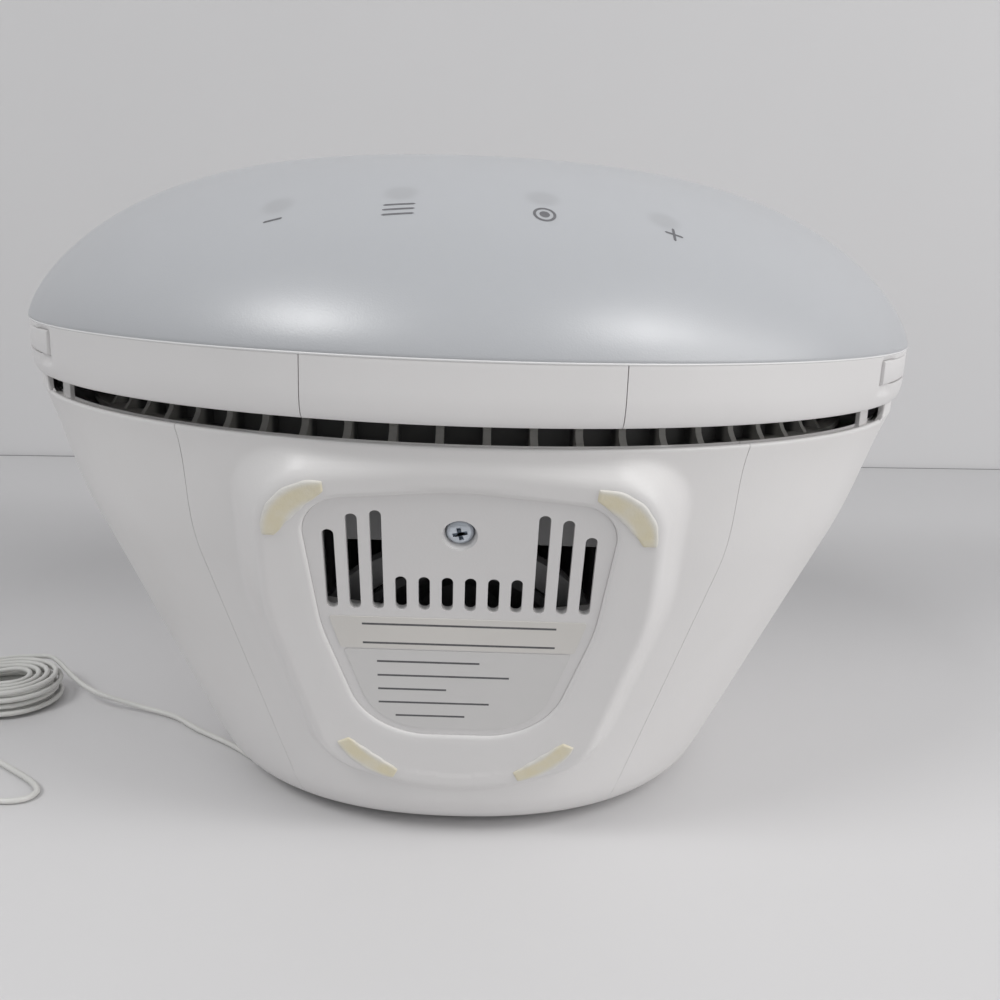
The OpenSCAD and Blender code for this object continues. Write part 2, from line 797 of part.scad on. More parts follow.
module mid_frame() {
    color(grey)
        translate([0, 0, frame_z])
            difference() {
                cylinder(r = frame_r, h = frame_t);
                translate([0, 0, -past]) cylinder(r = 28, h = frame_t + 2*past);
                for (p = corners(post_at))
                    translate([p[0], p[1], -past])
                        cylinder(d = post_bore_d + 2*play, h = frame_t + 2*past);
                for (i = [0 : 7])
                    rotate(45*i + 22.5)
                        translate([60, 0, -past])
                            cylinder(r = 11, h = frame_t + 2*past);
                translate([-boss_r - boss_play, -frame_r - 1, -past])
                    cube([2*(boss_r + boss_play), frame_r + 1 + boss_y + boss_play, frame_t + 2*past]);
            }
}

module frame_screws() {
    color(steel)
        for (p = corners(post_at))
            translate([p[0], p[1], frame_z + frame_t])
                cross_screw(5.2, 1.8, post_bore_d - 2*screw_play, 14);
}

// Electronics in the back
module main_board() {
    color(board_green)
        difference() {
            translate([-27, -12, board_z])
                cube([54, 46, board_t]);
            for (p = board_post_at)
                translate([p[0], p[1], board_z - past])
                    cylinder(d = board_bore_d + 2*play, h = board_t + 2*past);
        }
}

module board_components() {
    color(dark)
        translate([0, 0, board_z + board_t]) {
            translate([-14, -4, 0]) cube([12, 12, 1.4]);
            translate([6, -6, 0]) cube([9, 7, 3]);
            translate([-16, 20, 0]) cube([8, 6, 2]);
            translate([9, 10, 0]) cylinder(d = 8, h = 11);
            translate([17, 16, 0]) cylinder(d = 6.3, h = 11);
        }
}

module board_screws() {
    color(steel)
        for (p = board_post_at)
            translate([p[0], p[1], board_z + board_t])
                cross_screw(4, 1.5, board_bore_d - 2*screw_play, 8);
}

module ribbon_cable() {
    color(grey)
        translate([-6, 25, board_z + board_t])
            cube([12, 0.8, web_top_z - board_z - board_t]);
}

bay_wall = 1.6;
bay_top = 13.5;
bay_low = 0.3;
socket_at = [-6, bay_y];
socket_d = 10.4;
socket_low = 7;
socket_bore_d = 5.5;
socket_pin_d = 2;

module connector_bay() {
    flange = 2.5;
    color(white)
        difference() {
            union() {
                translate([-bay_w/2, bay_y - bay_l/2, bay_low])
                    cube([bay_w, bay_l, bay_top - bay_low]);
                translate([-bay_w/2 - flange + 1, bay_y - bay_l/2 - flange + 1, floor_t])
                    cube([bay_w + 2*flange - 2, bay_l + 2*flange - 2, 1.2]);
            }
            translate([bay_wall - bay_w/2, bay_y - bay_l/2 + bay_wall, bay_low - past])
                cube([bay_w - 2*bay_wall, bay_l - 2*bay_wall, bay_top - bay_low - bay_wall + past]);
            translate([socket_at[0], socket_at[1], bay_top - bay_wall - past])
                cylinder(d = socket_d + 2*play, h = bay_wall + 2*past);
        }
}

module dc_socket() {
    color(dark)
        translate([socket_at[0], socket_at[1], 0]) {
            difference() {
                translate([0, 0, socket_low]) cylinder(d = socket_d, h = board_z - socket_low);
                translate([0, 0, socket_low - past]) cylinder(d = socket_bore_d, h = 9 + past);
            }
            translate([0, 0, socket_low + 0.5]) cylinder(d = socket_pin_d, h = 9);
        }
}

// Loudspeaker behind the slots, on a bracket against the back of the face block
speaker_v = -45;
bracket_t = 2;
bracket_back = -block_t - bracket_t;
bar_low = -15.5;
arm_in = window_half + 0.3;
arm_out = 29.4;
speaker_r = speaker_d/2;
cone_r = speaker_r - 5;
magnet_r = 17;

module speaker_bracket() {
    color(grey)
        on_face()
            difference() {
                slab([
                    [-arm_out, -5.3], [-arm_out, -34], [-21, -60], [21, -60], [arm_out, -34],
                    [arm_out, -5.3]
                ], bracket_back, -block_t);
                slab([
                    [-arm_in, -9], [-20.3, -9], [-20.3, bar_low], [arm_in, bar_low], [arm_in, -32],
                    [16.5, -56], [-16.5, -56], [-arm_in, -32]
                ], bracket_back - past, past - block_t);
                translate([-boss_r - 1.5, screw_v - boss_r - 2, bracket_back - past])
                    cube([2*boss_r + 3, 20, bracket_t + 2*past]);
            }
}

module speaker_frame() {
    basket_z = bracket_back - 16;
    color(dark)
        on_face()
            translate([0, speaker_v, 0]) {
                difference() {
                    translate([0, 0, bracket_back - 2]) cylinder(r = speaker_r, h = 2);
                    translate([0, 0, bracket_back - 2 - past]) cylinder(r = cone_r, h = 2 + 2*past);
                }
                difference() {
                    translate([0, 0, basket_z])
                        cylinder(r1 = magnet_r, r2 = speaker_r - 2, h = bracket_back - 1 - basket_z);
                    translate([0, 0, basket_z + 1.5])
                        cylinder(r1 = magnet_r - 1, r2 = cone_r + 1, h = bracket_back - basket_z);
                    for (a = [0, 90])
                        rotate(a)
                            translate([-speaker_r - past, -7, basket_z + 4])
                                cube([2*speaker_r + 2*past, 14, 8]);
                }
            }
}

module speaker_cone() {
    rim_z = bracket_back - 1;
    color([0.25, 0.25, 0.26])
        on_face()
            translate([0, speaker_v, 0])
                rotate_extrude()
                    polygon([
                        [0, rim_z - 11], [9, rim_z - 12.5], [cone_r - 1.3, rim_z - 1],
                        [cone_r - 1.3, rim_z], [cone_r - 3, rim_z], [9, rim_z - 11.4], [0, rim_z - 10]
                    ]);
}

module speaker_magnet() {
    color(grey)
        on_face()
            translate([0, speaker_v, bracket_back - 16 - 10])
                cylinder(r = magnet_r, h = 10);
}

// Antenna: a thin wire out of a groove in the back, along the surface to its hank, and a loose end
grommet_d = 2.1;
grommet_z = 1.35;
wire_start = -24;
lie_z = wire_d/2 + 0.1;
hank_at = [-128, -8];
hank_turn = 10;
hank_low = 1.45;
layers = 4;
loop_rings = 24;
hank_turns = layers*loops + 0.5;

wire_route = [
    [wire_start, groove_y, grommet_z], [-27, -36, 1.3], [-31, -36, 1.15], [-35, -36, 1],
    [-39, -36, 0.9], [-43, -36, 0.8], [-46.5, -35.4, 0.75], [-49.3, -33.6, 0.75],
    [-52, -31, 0.75], [-55, -28.4, 0.75], [-58.2, -26, 0.75], [-61.6, -23.6, 0.75],
    [-65, -21.2, 0.8], [-68.4, -18.2, 0.8], [-72, -15.2, 0.9], [-76.5, -13, 1.1],
    [-81, -11.7, 1.5], [-85, -10.9, 2.2], [-89, -10.4, 3.1], [-93, -9.7, 4], [-97, -8, 4.9],
    [-101, -5, 5.6], [-105, -1, 6.2], [-109, 3.5, 6.6], [-112.5, 6.8, 6.8]
];
tail_route = [
    [-128, -21.7, 1.2], [-124.2, -22.6, 1], [-121.3, -25.2, 0.8], [-118.6, -28.6, 0.75],
    [-115.6, -32.4, 0.75], [-112, -36, 0.75], [-108, -38.1, 0.75], [-104, -40.7, 0.75], [-100, -43.6, 0.75],
    [-96, -46.6, 0.75], [-92.9, -49.4, 0.75], [-91.2, -52.2, 0.75], [-92, -55, 0.75],
    [-94.8, -56.3, 0.75], [-98.5, -56.2, 0.75], [-102.5, -55.3, 0.75], [-106.5, -54.2, 0.75],
    [-110.5, -53.2, 0.75], [-114.5, -52.5, 0.75]
];

// Loops counted out from the innermost fold: layers spiral in and out by turns
function loop_index(layer, u) = layer%2 == 0
    ? (layer == 0 || u >= 0.75 ? loops - u : u < 0.25 ? loops - 0.25 + u : loops - 1.5*(u - 0.25))
    : (u < 0.25 ? -u : u < 0.75 ? -0.25 + 1.5*(u - 0.25) : u - 0.25);
// The wire drops one layer along the run where the spiral reverses
function loop_z(layer, u) =
    hank_low + layer_step*(layers - 1 - layer + (layer > 0 && u < 0.25 ? 1 - 4*u : 0));
function loop_point(r, g) =
    let (part = floor(4*g))
    let (t = 4*g - part)
    let (drawn = r*(1 - waist*pow(sin(180*t), 2)))
    part == 0 ? [run_l*(0.5 - t), drawn] :
    part == 1 ? [r*cos(90 + 180*t) - run_l/2, r*sin(90 + 180*t)] :
    part == 2 ? [run_l*(t - 0.5), -drawn] :
    [run_l/2 + r*cos(180*t - 90), r*sin(180*t - 90)];
function hank_point(turn) =
    let (layer = min(layers - 1, floor(turn/loops)))
    let (u = turn - layer*loops)
    let (p = loop_point(fold_r + loop_step*loop_index(layer, u), turn - floor(turn)))
    [hank_at[0] + p[0]*cos(hank_turn) - p[1]*sin(hank_turn),
     hank_at[1] + p[0]*sin(hank_turn) + p[1]*cos(hank_turn),
     loop_z(layer, u)];
hank_dir = [cos(hank_turn), sin(hank_turn), 0];
hank_path = [for (i = [0 : hank_turns*loop_rings]) hank_point(i/loop_rings)];
hank_in = hank_path[0] + wire_d*hank_dir;
hank_out = hank_path[len(hank_path) - 1] + wire_d*hank_dir;
hank_route = concat([hank_in], hank_path, [hank_out]);

// Least gap of the hank to itself, between points more than half a loop apart
hank_gap = min([
    for (i = [0 : len(hank_path) - 1], j = [i + loop_rings/2 : 1 : len(hank_path) - 1])
        norm(hank_path[i] - hank_path[j])
]) - wire_d;
echo(hank_gap = hank_gap);

// One tube along a route, with a ring at each of its points
module tube(route, sides) {
    n = len(route);
    function along(i) =
        let (d = route[min(n - 1, i + 1)] - route[max(0, i - 1)])
        d/norm(d);
    points = [
        for (i = [0 : n - 1])
            let (d = along(i))
            let (u = cross(d, [0, 0, 1])/norm(cross(d, [0, 0, 1])))
            let (v = cross(u, d))
            for (k = [0 : sides - 1])
                route[i] + wire_d/2*(u*cos(360*k/sides) + v*sin(360*k/sides))
    ];
    faces = concat(
        quilt([for (i = [0 : n - 2], k = [0 : sides - 1])
            patch(i*sides + k, (i + 1)*sides + k, (i + 1)*sides + (k + 1)%sides, i*sides + (k + 1)%sides)]),
        [for (k = [1 : sides - 2]) [0, k, k + 1]],
        [for (k = [1 : sides - 2]) [(n - 1)*sides, (n - 1)*sides + k + 1, (n - 1)*sides + k]]
    );
    polyhedron(points, faces);
}

module antenna_grommet() {
    color(white)
        translate([wire_start, groove_y, grommet_z])
            rotate([0, 90, 0])
                cylinder(d = grommet_d, h = groove_end - wire_start);
}

module antenna_wire() {
    color(white)
        tube(concat(wire_route, [hank_in + 2.4*wire_d*hank_dir, hank_in]), 8);
}

module antenna_hank() {
    color(white)
        tube(hank_route, 6);
}

module antenna_tail() {
    color(white)
        tube(concat([hank_out, hank_out + 2.4*wire_d*hank_dir], tail_route), 8);
}

// A flat band round the waist of the hank
module hank_tie() {
    band = 0.6;
    width = 5;
    far = (fold_r + loop_step*loops)*(1 - waist) + wire_d;
    near = (fold_r + loop_step*(loops - 0.5))*(1 - waist) + wire_d/2 + 0.4;
    low = hank_low - wire_d/2 - 0.05;
    high = hank_low + (layers - 1)*layer_step + wire_d/2 + 0.3;
    color(white)
        translate([hank_at[0], hank_at[1], 0])
            rotate(hank_turn)
                translate([-width/2, 0, 0])
                    difference() {
                        translate([0, -near - band, low - band])
                            cube([width, near + far + 2*band, high - low + 2*band]);
                        translate([-past, -near, low])
                            cube([width + 2*past, near + far, high - low]);
                    }
}

diffuser_dome();
rim_ring();
rim_lower_insert();
left_upper_key();
left_lower_key();
right_upper_key();
right_lower_key();
vent_rib_ring();
rear_housing();
base_shell();
base_plate();
base_screw();
foot_pads();
serial_strip();
rating_label();
reflector();
led_board();
leds();
display_carrier();
display_module();
touch_board();
touch_posts();
key_board_left();
key_board_right();
key_switches();
mid_frame();
frame_screws();
main_board();
board_components();
board_screws();
ribbon_cable();
connector_bay();
dc_socket();
speaker_bracket();
speaker_frame();
speaker_cone();
speaker_magnet();
antenna_grommet();
antenna_wire();
antenna_hank();
antenna_tail();
hank_tie();
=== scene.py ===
from math import acos, asin, atan2, copysign, cos, degrees, pi, radians, sin, sqrt, tan

import bmesh
import bpy
import numpy as np
from mathutils import Matrix, Vector


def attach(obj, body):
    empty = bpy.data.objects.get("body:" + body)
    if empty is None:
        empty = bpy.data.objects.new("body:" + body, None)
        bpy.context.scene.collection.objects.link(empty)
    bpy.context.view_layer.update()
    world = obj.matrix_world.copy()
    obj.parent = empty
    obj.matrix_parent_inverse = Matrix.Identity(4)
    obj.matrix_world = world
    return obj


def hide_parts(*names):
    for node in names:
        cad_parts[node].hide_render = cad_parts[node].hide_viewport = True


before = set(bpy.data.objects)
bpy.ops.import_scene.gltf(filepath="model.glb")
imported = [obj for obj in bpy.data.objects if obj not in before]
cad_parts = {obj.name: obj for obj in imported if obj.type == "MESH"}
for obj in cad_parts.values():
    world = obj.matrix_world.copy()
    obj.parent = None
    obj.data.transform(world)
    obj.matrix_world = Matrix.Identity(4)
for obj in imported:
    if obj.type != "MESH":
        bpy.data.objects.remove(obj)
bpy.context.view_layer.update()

MM = 0.001
scene = bpy.context.scene


def new_object(name, data):
    ob = bpy.data.objects.new(name, data)
    scene.collection.objects.link(ob)
    return ob


# Camera

EYE = Vector((3.621, -249.48, 117.135)) * MM
LOOK = Vector((0.01705, 0.97185, -0.235)).normalized()
LEVEL = Vector((0.99928, -0.00858, 0.037))


def make_camera():
    data = bpy.data.cameras.new("camera")
    data.sensor_fit = "HORIZONTAL"
    data.sensor_width = 36
    data.lens = 36
    data.clip_start = 0.01
    data.clip_end = 20
    ob = new_object("camera", data)
    across = (LEVEL - LOOK * LEVEL.dot(LOOK)).normalized()
    up = across.cross(LOOK)
    columns = Matrix((across, up, -LOOK)).transposed()
    ob.matrix_world = Matrix.Translation(EYE) @ columns.to_4x4()
    return ob


scene.camera = make_camera()

# Helpers for meshes, all in millimetres


def finish_mesh(me, angle=35):
    for p in me.polygons:
        p.use_smooth = True
    me.set_sharp_from_angle(angle=radians(angle))


def add_object(name, verts, faces, angle=35):
    me = bpy.data.meshes.new(name)
    me.from_pydata([(x * MM, y * MM, z * MM) for x, y, z in verts], [], faces)
    bm = bmesh.new()
    bm.from_mesh(me)
    bmesh.ops.remove_doubles(bm, verts=bm.verts, dist=1e-7)
    bmesh.ops.dissolve_degenerate(bm, edges=bm.edges, dist=1e-8)
    bmesh.ops.recalc_face_normals(bm, faces=bm.faces)
    bm.to_mesh(me)
    bm.free()
    finish_mesh(me, angle)
    return new_object(name, me)


def sweep(rings, closed):
    """Solid through a row of rings with equal numbers of points, capped at both ends if open."""
    m = len(rings[0])
    count = len(rings)
    verts = [p for ring_points in rings for p in ring_points]
    faces = []
    for i in range(count if closed else count - 1):
        j = (i + 1) % count
        for k in range(m):
            n = (k + 1) % m
            faces.append((i * m + k, j * m + k, j * m + n, i * m + n))
    if not closed:
        faces.append(tuple(range(m)))
        faces.append(tuple((count - 1) * m + k for k in reversed(range(m))))
    return verts, faces


def lathe(profile, a0=0, a1=360, n=256):
    """Solid of revolution about Z from a closed (r, z) polygon, whole or a sector."""
    whole = abs(a1 - a0) >= 360
    rings = []
    for i in range(n if whole else n + 1):
        a = radians(a0 + (a1 - a0) * i / n)
        rings.append([(r * cos(a), r * sin(a), z) for r, z in profile])
    return sweep(rings, whole)


def sector(r0, r1, z0, z1, mid, half, n):
    return lathe([(r0, z0), (r1, z0), (r1, z1), (r0, z1)], mid - half, mid + half, n)


def prism(outline, z0, z1):
    n = len(outline)
    verts = [(x, y, z0) for x, y in outline] + [(x, y, z1) for x, y in outline]
    faces = [tuple(reversed(range(n))), tuple(range(n, 2 * n))]
    faces += [(i, (i + 1) % n, n + (i + 1) % n, n + i) for i in range(n)]
    return verts, faces


def block(x0, x1, y0, y1, z0, z1):
    return prism([(x0, y0), (x1, y0), (x1, y1), (x0, y1)], z0, z1)


def circle(x, y, r, n=48):
    return [(x + r * cos(2 * pi * i / n), y + r * sin(2 * pi * i / n)) for i in range(n)]


def merge(*parts):
    verts, faces = [], []
    for v, f in parts:
        base = len(verts)
        verts += v
        faces += [tuple(i + base for i in face) for face in f]
    return verts, faces


def row_faces(a, b, first, last, around):
    """Quads between two rows that begin at points a and b and close after so many points around."""
    return [(a + i, a + (i + 1) % around, b + (i + 1) % around, b + i) for i in range(first, last)]


def grid_faces(start, rows, cols):
    """Quads over a grid of points that is stored row by row."""
    faces = []
    for j in range(rows - 1):
        a = start + j * cols
        faces += row_faces(a, a + cols, 0, cols - 1, cols)
    return faces


def baked(ob):
    graph = bpy.context.evaluated_depsgraph_get()
    me = bpy.data.meshes.new_from_object(ob.evaluated_get(graph))
    ob.modifiers.clear()
    old = ob.data
    ob.data = me
    bpy.data.meshes.remove(old)


def cut(ob, *parts, angle=35):
    for verts, faces in parts:
        tool = add_object("cutter", verts, faces)
        m = ob.modifiers.new("cut", "BOOLEAN")
        m.operation = "DIFFERENCE"
        m.solver = "EXACT"
        m.object = tool
        baked(ob)
        bpy.data.objects.remove(tool)
    finish_mesh(ob.data, angle)


def soften(ob, width, segments=2, angle=40):
    m = ob.modifiers.new("edges", "BEVEL")
    m.width = width * MM
    m.segments = segments
    m.limit_method = "ANGLE"
    m.angle_limit = radians(angle)
    m.use_clamp_overlap = True
    m.harden_normals = True


def dress(ob, material, *nodes, body="lamp", slot="white_plastic"):
    """Gives a piece its material and its body and hides the solids it stands for; the slot is not used."""
    ob.data.materials.clear()
    ob.data.materials.append(material)
    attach(ob, body)
    if nodes:
        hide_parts(*nodes)
    return ob


def add_piece(name, part, material, *nodes, edge=0, angle=35, **place):
    """Builds, softens and dresses a piece in one go."""
    ob = add_object(name, *part, angle=angle)
    if edge:
        soften(ob, edge)
    return dress(ob, material, *nodes, **place)


# Materials


def set_inputs(node, values):
    for name, value in values.items():
        node.inputs[name].default_value = value


def add_noise(nt, coords, scale, detail=3.0, roughness=0.55):
    node = nt.nodes.new("ShaderNodeTexNoise")
    set_inputs(node, {"Scale": scale, "Detail": detail, "Roughness": roughness})
    nt.links.new(coords.outputs["Object"], node.inputs["Vector"])
    return node.outputs["Fac"]


def add_range(nt, value, from_min, from_max, to_min, to_max, smooth=False):
    node = nt.nodes.new("ShaderNodeMapRange")
    if smooth:
        node.interpolation_type = "SMOOTHERSTEP"
    set_inputs(node, {"From Min": from_min, "From Max": from_max, "To Min": to_min, "To Max": to_max})
    nt.links.new(value, node.inputs["Value"])
    return node.outputs["Result"]


def add_mix(nt, factor, first, second):
    """Blends a colour socket into a fixed colour."""
    node = nt.nodes.new("ShaderNodeMix")
    node.data_type = "RGBA"
    node.inputs["B"].default_value = tuple(second) + (1,)
    nt.links.new(factor, node.inputs["Factor"])
    nt.links.new(first, node.inputs["A"])
    return node.outputs["Result"]


def add_math(nt, operation, value, other=0.0):
    """Number node on a socket and a fixed number or a second socket."""
    node = nt.nodes.new("ShaderNodeMath")
    node.operation = operation
    nt.links.new(value, node.inputs[0])
    if isinstance(other, float):
        node.inputs[1].default_value = other
    else:
        nt.links.new(other, node.inputs[1])
    return node.outputs["Value"]


def add_vector_math(nt, operation, vector, other=(0, 0, 0)):
    node = nt.nodes.new("ShaderNodeVectorMath")
    node.operation = operation
    node.inputs[1].default_value = other
    nt.links.new(vector, node.inputs[0])
    return node


def paint_inputs(mat):
    """Node tree, base colour and coordinates of a material that is to be painted over."""
    nt = mat.node_tree
    coords = next(n for n in nt.nodes if n.type == "TEX_COORD")
    return nt, nt.nodes["Principled BSDF"].inputs["Base Color"], coords


def paint_over(nt, color, amount, shade):
    nt.links.new(add_mix(nt, amount, color.links[0].from_socket, shade), color)


def make_material(name, color, rough=0.4, tint=0.03, tint_scale=40, grain=0.05, grain_scale=1400,
                  rough_var=0.06, metallic=0.0, specular=0.5, coat=0.0, stain=None, stain_amount=0.0,
                  stain_scale=18, subsurface=0.0):
    """Moulded or printed surface: slow colour drift, patches of stain, fine bump and uneven gloss."""
    mat = bpy.data.materials.new(name)
    mat.use_nodes = True
    nt = mat.node_tree
    bsdf = nt.nodes["Principled BSDF"]
    set_inputs(bsdf, {"Metallic": metallic, "Specular IOR Level": specular, "Coat Weight": coat,
                      "Subsurface Weight": subsurface, "Subsurface Radius": (0.004, 0.004, 0.004),
                      "Subsurface Scale": 1.0})
    coords = nt.nodes.new("ShaderNodeTexCoord")
    ramp = nt.nodes.new("ShaderNodeValToRGB")
    low, high = ramp.color_ramp.elements
    low.position = 0.3
    high.position = 0.7
    low.color = tuple(c * (1 - tint) for c in color) + (1,)
    high.color = tuple(min(1, c * (1 + tint)) for c in color) + (1,)
    nt.links.new(add_noise(nt, coords, tint_scale), ramp.inputs["Fac"])
    base = ramp.outputs["Color"]
    if stain:
        patch = add_noise(nt, coords, stain_scale, 5.0, 0.62)
        base = add_mix(nt, add_range(nt, patch, 0.52, 0.78, 0.0, stain_amount), base, stain)
    nt.links.new(base, bsdf.inputs["Base Color"])
    gloss = add_noise(nt, coords, tint_scale * 3.1)
    gloss = add_range(nt, gloss, 0.0, 1.0, max(0.02, rough - rough_var), min(1.0, rough + rough_var))
    nt.links.new(gloss, bsdf.inputs["Roughness"])
    bump = nt.nodes.new("ShaderNodeBump")
    set_inputs(bump, {"Strength": grain, "Distance": 0.0002})
    nt.links.new(add_noise(nt, coords, grain_scale, 2.0), bump.inputs["Height"])
    nt.links.new(bump.outputs["Normal"], bsdf.inputs["Normal"])
    return mat


WHITE = make_material("white_plastic", (0.725, 0.712, 0.706), 0.38, tint=0.012, grain=0.06, grain_scale=1800,
                      stain=(0.57, 0.55, 0.51), stain_amount=0.10, stain_scale=24)
PLATE = make_material("plate_plastic", (0.69, 0.677, 0.673), 0.42, tint=0.015, grain=0.10, grain_scale=2200,
                      stain=(0.55, 0.53, 0.50), stain_amount=0.12, stain_scale=30)
RIM = make_material("rim_plastic", (0.71, 0.697, 0.694), 0.32, tint=0.012, grain=0.03, grain_scale=1500,
                    stain=(0.58, 0.56, 0.53), stain_amount=0.08)
# Paler than the rim: a painted highlight along the edge between rim and dome
BEAD_HIGHLIGHT = make_material("bead_painted_highlight", (0.80, 0.80, 0.80), 0.25, tint=0.012, grain=0.02, grain_scale=1500)
DARK = make_material("dark_plastic", (0.022, 0.022, 0.023), 0.5, tint=0.2, grain=0.15, grain_scale=1600)
GREY = make_material("grey_plastic", (0.34, 0.34, 0.345), 0.5, tint=0.1, grain=0.12)
STRIP = make_material("strip_paper", (0.66, 0.64, 0.61), 0.55, grain=0.1, grain_scale=2600)
LABEL = make_material("label_paper", (0.635, 0.625, 0.617), 0.42, tint=0.02, grain=0.06, grain_scale=2600)
INK = make_material("print_ink", (0.10, 0.10, 0.105), 0.55, tint=0.2, tint_scale=700)
MARK = make_material("mark_ink", (0.15, 0.15, 0.16), 0.6, tint=0.15, tint_scale=900)
ZINC = make_material("screw_zinc", (0.56, 0.60, 0.65), 0.32, tint=0.12, tint_scale=700, grain=0.25,
                     grain_scale=3000, metallic=1.0)
BOARD = make_material("circuit_board", (0.012, 0.10, 0.035), 0.38, tint=0.2, tint_scale=260, grain=0.2,
                      stain=(0.05, 0.2, 0.08), stain_amount=0.8, stain_scale=300)
SHEET = make_material("reflector_white", (0.82, 0.82, 0.82), 0.6, tint=0.02, grain=0.1)
ALU = make_material("led_plate", (0.72, 0.73, 0.74), 0.4, tint=0.05, tint_scale=200, grain=0.2, metallic=1.0)
LENS = make_material("led_lens", (0.85, 0.72, 0.25), 0.2, tint=0.08, tint_scale=500, grain=0.02, coat=0.3)
RIBBON = make_material("ribbon", (0.32, 0.32, 0.34), 0.45, tint=0.1, grain=0.1)
METAL = make_material("speaker_steel", (0.28, 0.28, 0.285), 0.4, tint=0.15, grain=0.2)
CONE = make_material("cone_paper", (0.20, 0.20, 0.203), 0.85, tint=0.2, tint_scale=300, grain=0.5,
                     grain_scale=1200)
WIRE = make_material("wire_jacket", (0.67, 0.665, 0.64), 0.42, tint=0.04, tint_scale=120, grain=0.1,
                     grain_scale=1800)

# Sizes of dome, rim and keys

EDGE = 102.0
DOME_R = 99.5
DOME_H = 36.3
DOME_WALL = 2.4
DOME_POWER = 3
DOME_ROUND = 1.45
RIM_H = 10.1
RIM_STEP = 0.2
RIM_WALL = 2.3
RIM_R = DOME_R - RIM_STEP
RIM_IN_R = RIM_R - RIM_WALL
RIM_LOW = EDGE - RIM_H
RIM_TUCK = 1.1
TOUCH_X = (-33, -12, 12, 33)
TOUCH_Y = (-72, -73, -73, -72)
SPOT_R, SPOT_FADE_R, SPOT_AMOUNT = 1.2, 4.2, 0.26
# Radius at which the painted light on the vent ribs begins, and where it is full; nearer the axis the channel
# stays dark as painted shade
PAINTED_LIGHT_R, PAINTED_LIGHT_FULL_R = 83.2, 85.0


def dome_z(r, radius=DOME_R, height=DOME_H):
    return EDGE + height * max(0.0, 1 - (r / radius) ** DOME_POWER) ** (1 / DOME_ROUND)


def on_dome(x, y, lift=0.02):
    return (x, y, dome_z(sqrt(x * x + y * y)) + lift)


def dome_material():
    """Frosted cover: cool pale grey, with the touch sensors showing faintly through it."""
    mat = make_material("frosted_plastic", (0.46, 0.47, 0.49), 0.35, tint=0.012, tint_scale=22, grain=0.10,
                        grain_scale=3200, rough_var=0.05, specular=0.9, subsurface=0.12)
    nt, color, coords = paint_inputs(mat)
    for x, y in zip(TOUCH_X, TOUCH_Y):
        sensor = Vector(on_dome(x, y)) * MM
        distance = add_vector_math(nt, "DISTANCE", coords.outputs["Object"], sensor).outputs["Value"]
        spot = add_range(nt, distance, SPOT_R * MM, SPOT_FADE_R * MM, SPOT_AMOUNT, 0.0, smooth=True)
        paint_over(nt, color, spot, (0.24, 0.24, 0.25))
    return mat


FROST = dome_material()


def rib_material():
    """Dark plastic of the vent, paler on the ribs than at the bottom of the channel: painted light on the
    ribs, painted shade in the channel.
    """
    mat = make_material("rib_plastic", (0.10, 0.099, 0.097), 0.6, tint=0.15, grain=0.15, grain_scale=1600)
    nt, color, coords = paint_inputs(mat)
    flat = add_vector_math(nt, "MULTIPLY", coords.outputs["Object"], (1, 1, 0)).outputs["Vector"]
    radius = add_vector_math(nt, "LENGTH", flat).outputs["Value"]
    painted_light = add_range(nt, radius, PAINTED_LIGHT_R * MM, PAINTED_LIGHT_FULL_R * MM, 0.0, 1.0, smooth=True)
    # Painted light: the rib edges made paler, the channel bottom left dark as painted shade
    paint_over(nt, color, painted_light, (0.50, 0.49, 0.465))
    return mat


RIB = rib_material()

# Antenna: one wire from the exit through the hank to the loose end

WIRE_D = 1.3
# Hank: straight run, radius of the inmost fold, step from loop to loop and from layer to layer
RUN = 21
FOLD = 4.5
STEP = 2.1
LAYER = 1.8
LOOPS = 4
LAYERS = 4
# Share by which the tie draws the hank in
WAIST = 0.16
# Share of a loop in which the wire climbs a layer, and its pace while it catches up with its loop
CLIMB = 0.25
CATCH_UP = 1.5
# Straight length before and after the hank, in wire diameters
LEAD = 3.4
HANK_AT = Vector((-128, -8, 0))
HANK_TURN = radians(10)
HANK_LOW = 1.45
# Keeps the round turns inside the faceted solid
HANK_FIT = 0.99
WIRE_ROUTE = [
    (-24, -36, 1.35), (-27, -36, 1.3), (-31, -36, 1.15), (-35, -36, 1), (-39, -36, 0.9), (-43, -36, 0.8),
    (-46.5, -35.4, 0.75), (-49.3, -33.6, 0.75), (-52, -31, 0.75), (-55, -28.4, 0.75), (-58.2, -26, 0.75),
    (-61.6, -23.6, 0.75), (-65, -21.2, 0.8), (-68.4, -18.2, 0.8), (-72, -15.2, 0.9), (-76.5, -13, 1.1),
    (-81, -11.7, 1.5), (-85, -10.9, 2.2), (-89, -10.4, 3.1), (-93, -9.7, 4), (-97, -8, 4.9), (-101, -5, 5.6),
    (-105, -1, 6.2), (-109, 3.5, 6.6), (-112.5, 6.8, 6.8)]
TAIL_ROUTE = [
    (-128, -21.7, 1.2), (-124.2, -22.6, 1), (-121.3, -25.2, 0.8), (-118.6, -28.6, 0.75),
    (-115.6, -32.4, 0.75), (-112, -36, 0.75), (-108, -38.1, 0.75), (-104, -40.7, 0.75), (-100, -43.6, 0.75),
    (-96, -46.6, 0.75), (-92.9, -49.4, 0.75), (-91.2, -52.2, 0.75), (-92, -55, 0.75), (-94.8, -56.3, 0.75),
    (-98.5, -56.2, 0.75), (-102.5, -55.3, 0.75), (-106.5, -54.2, 0.75), (-110.5, -53.2, 0.75),
    (-114.5, -52.5, 0.75)]


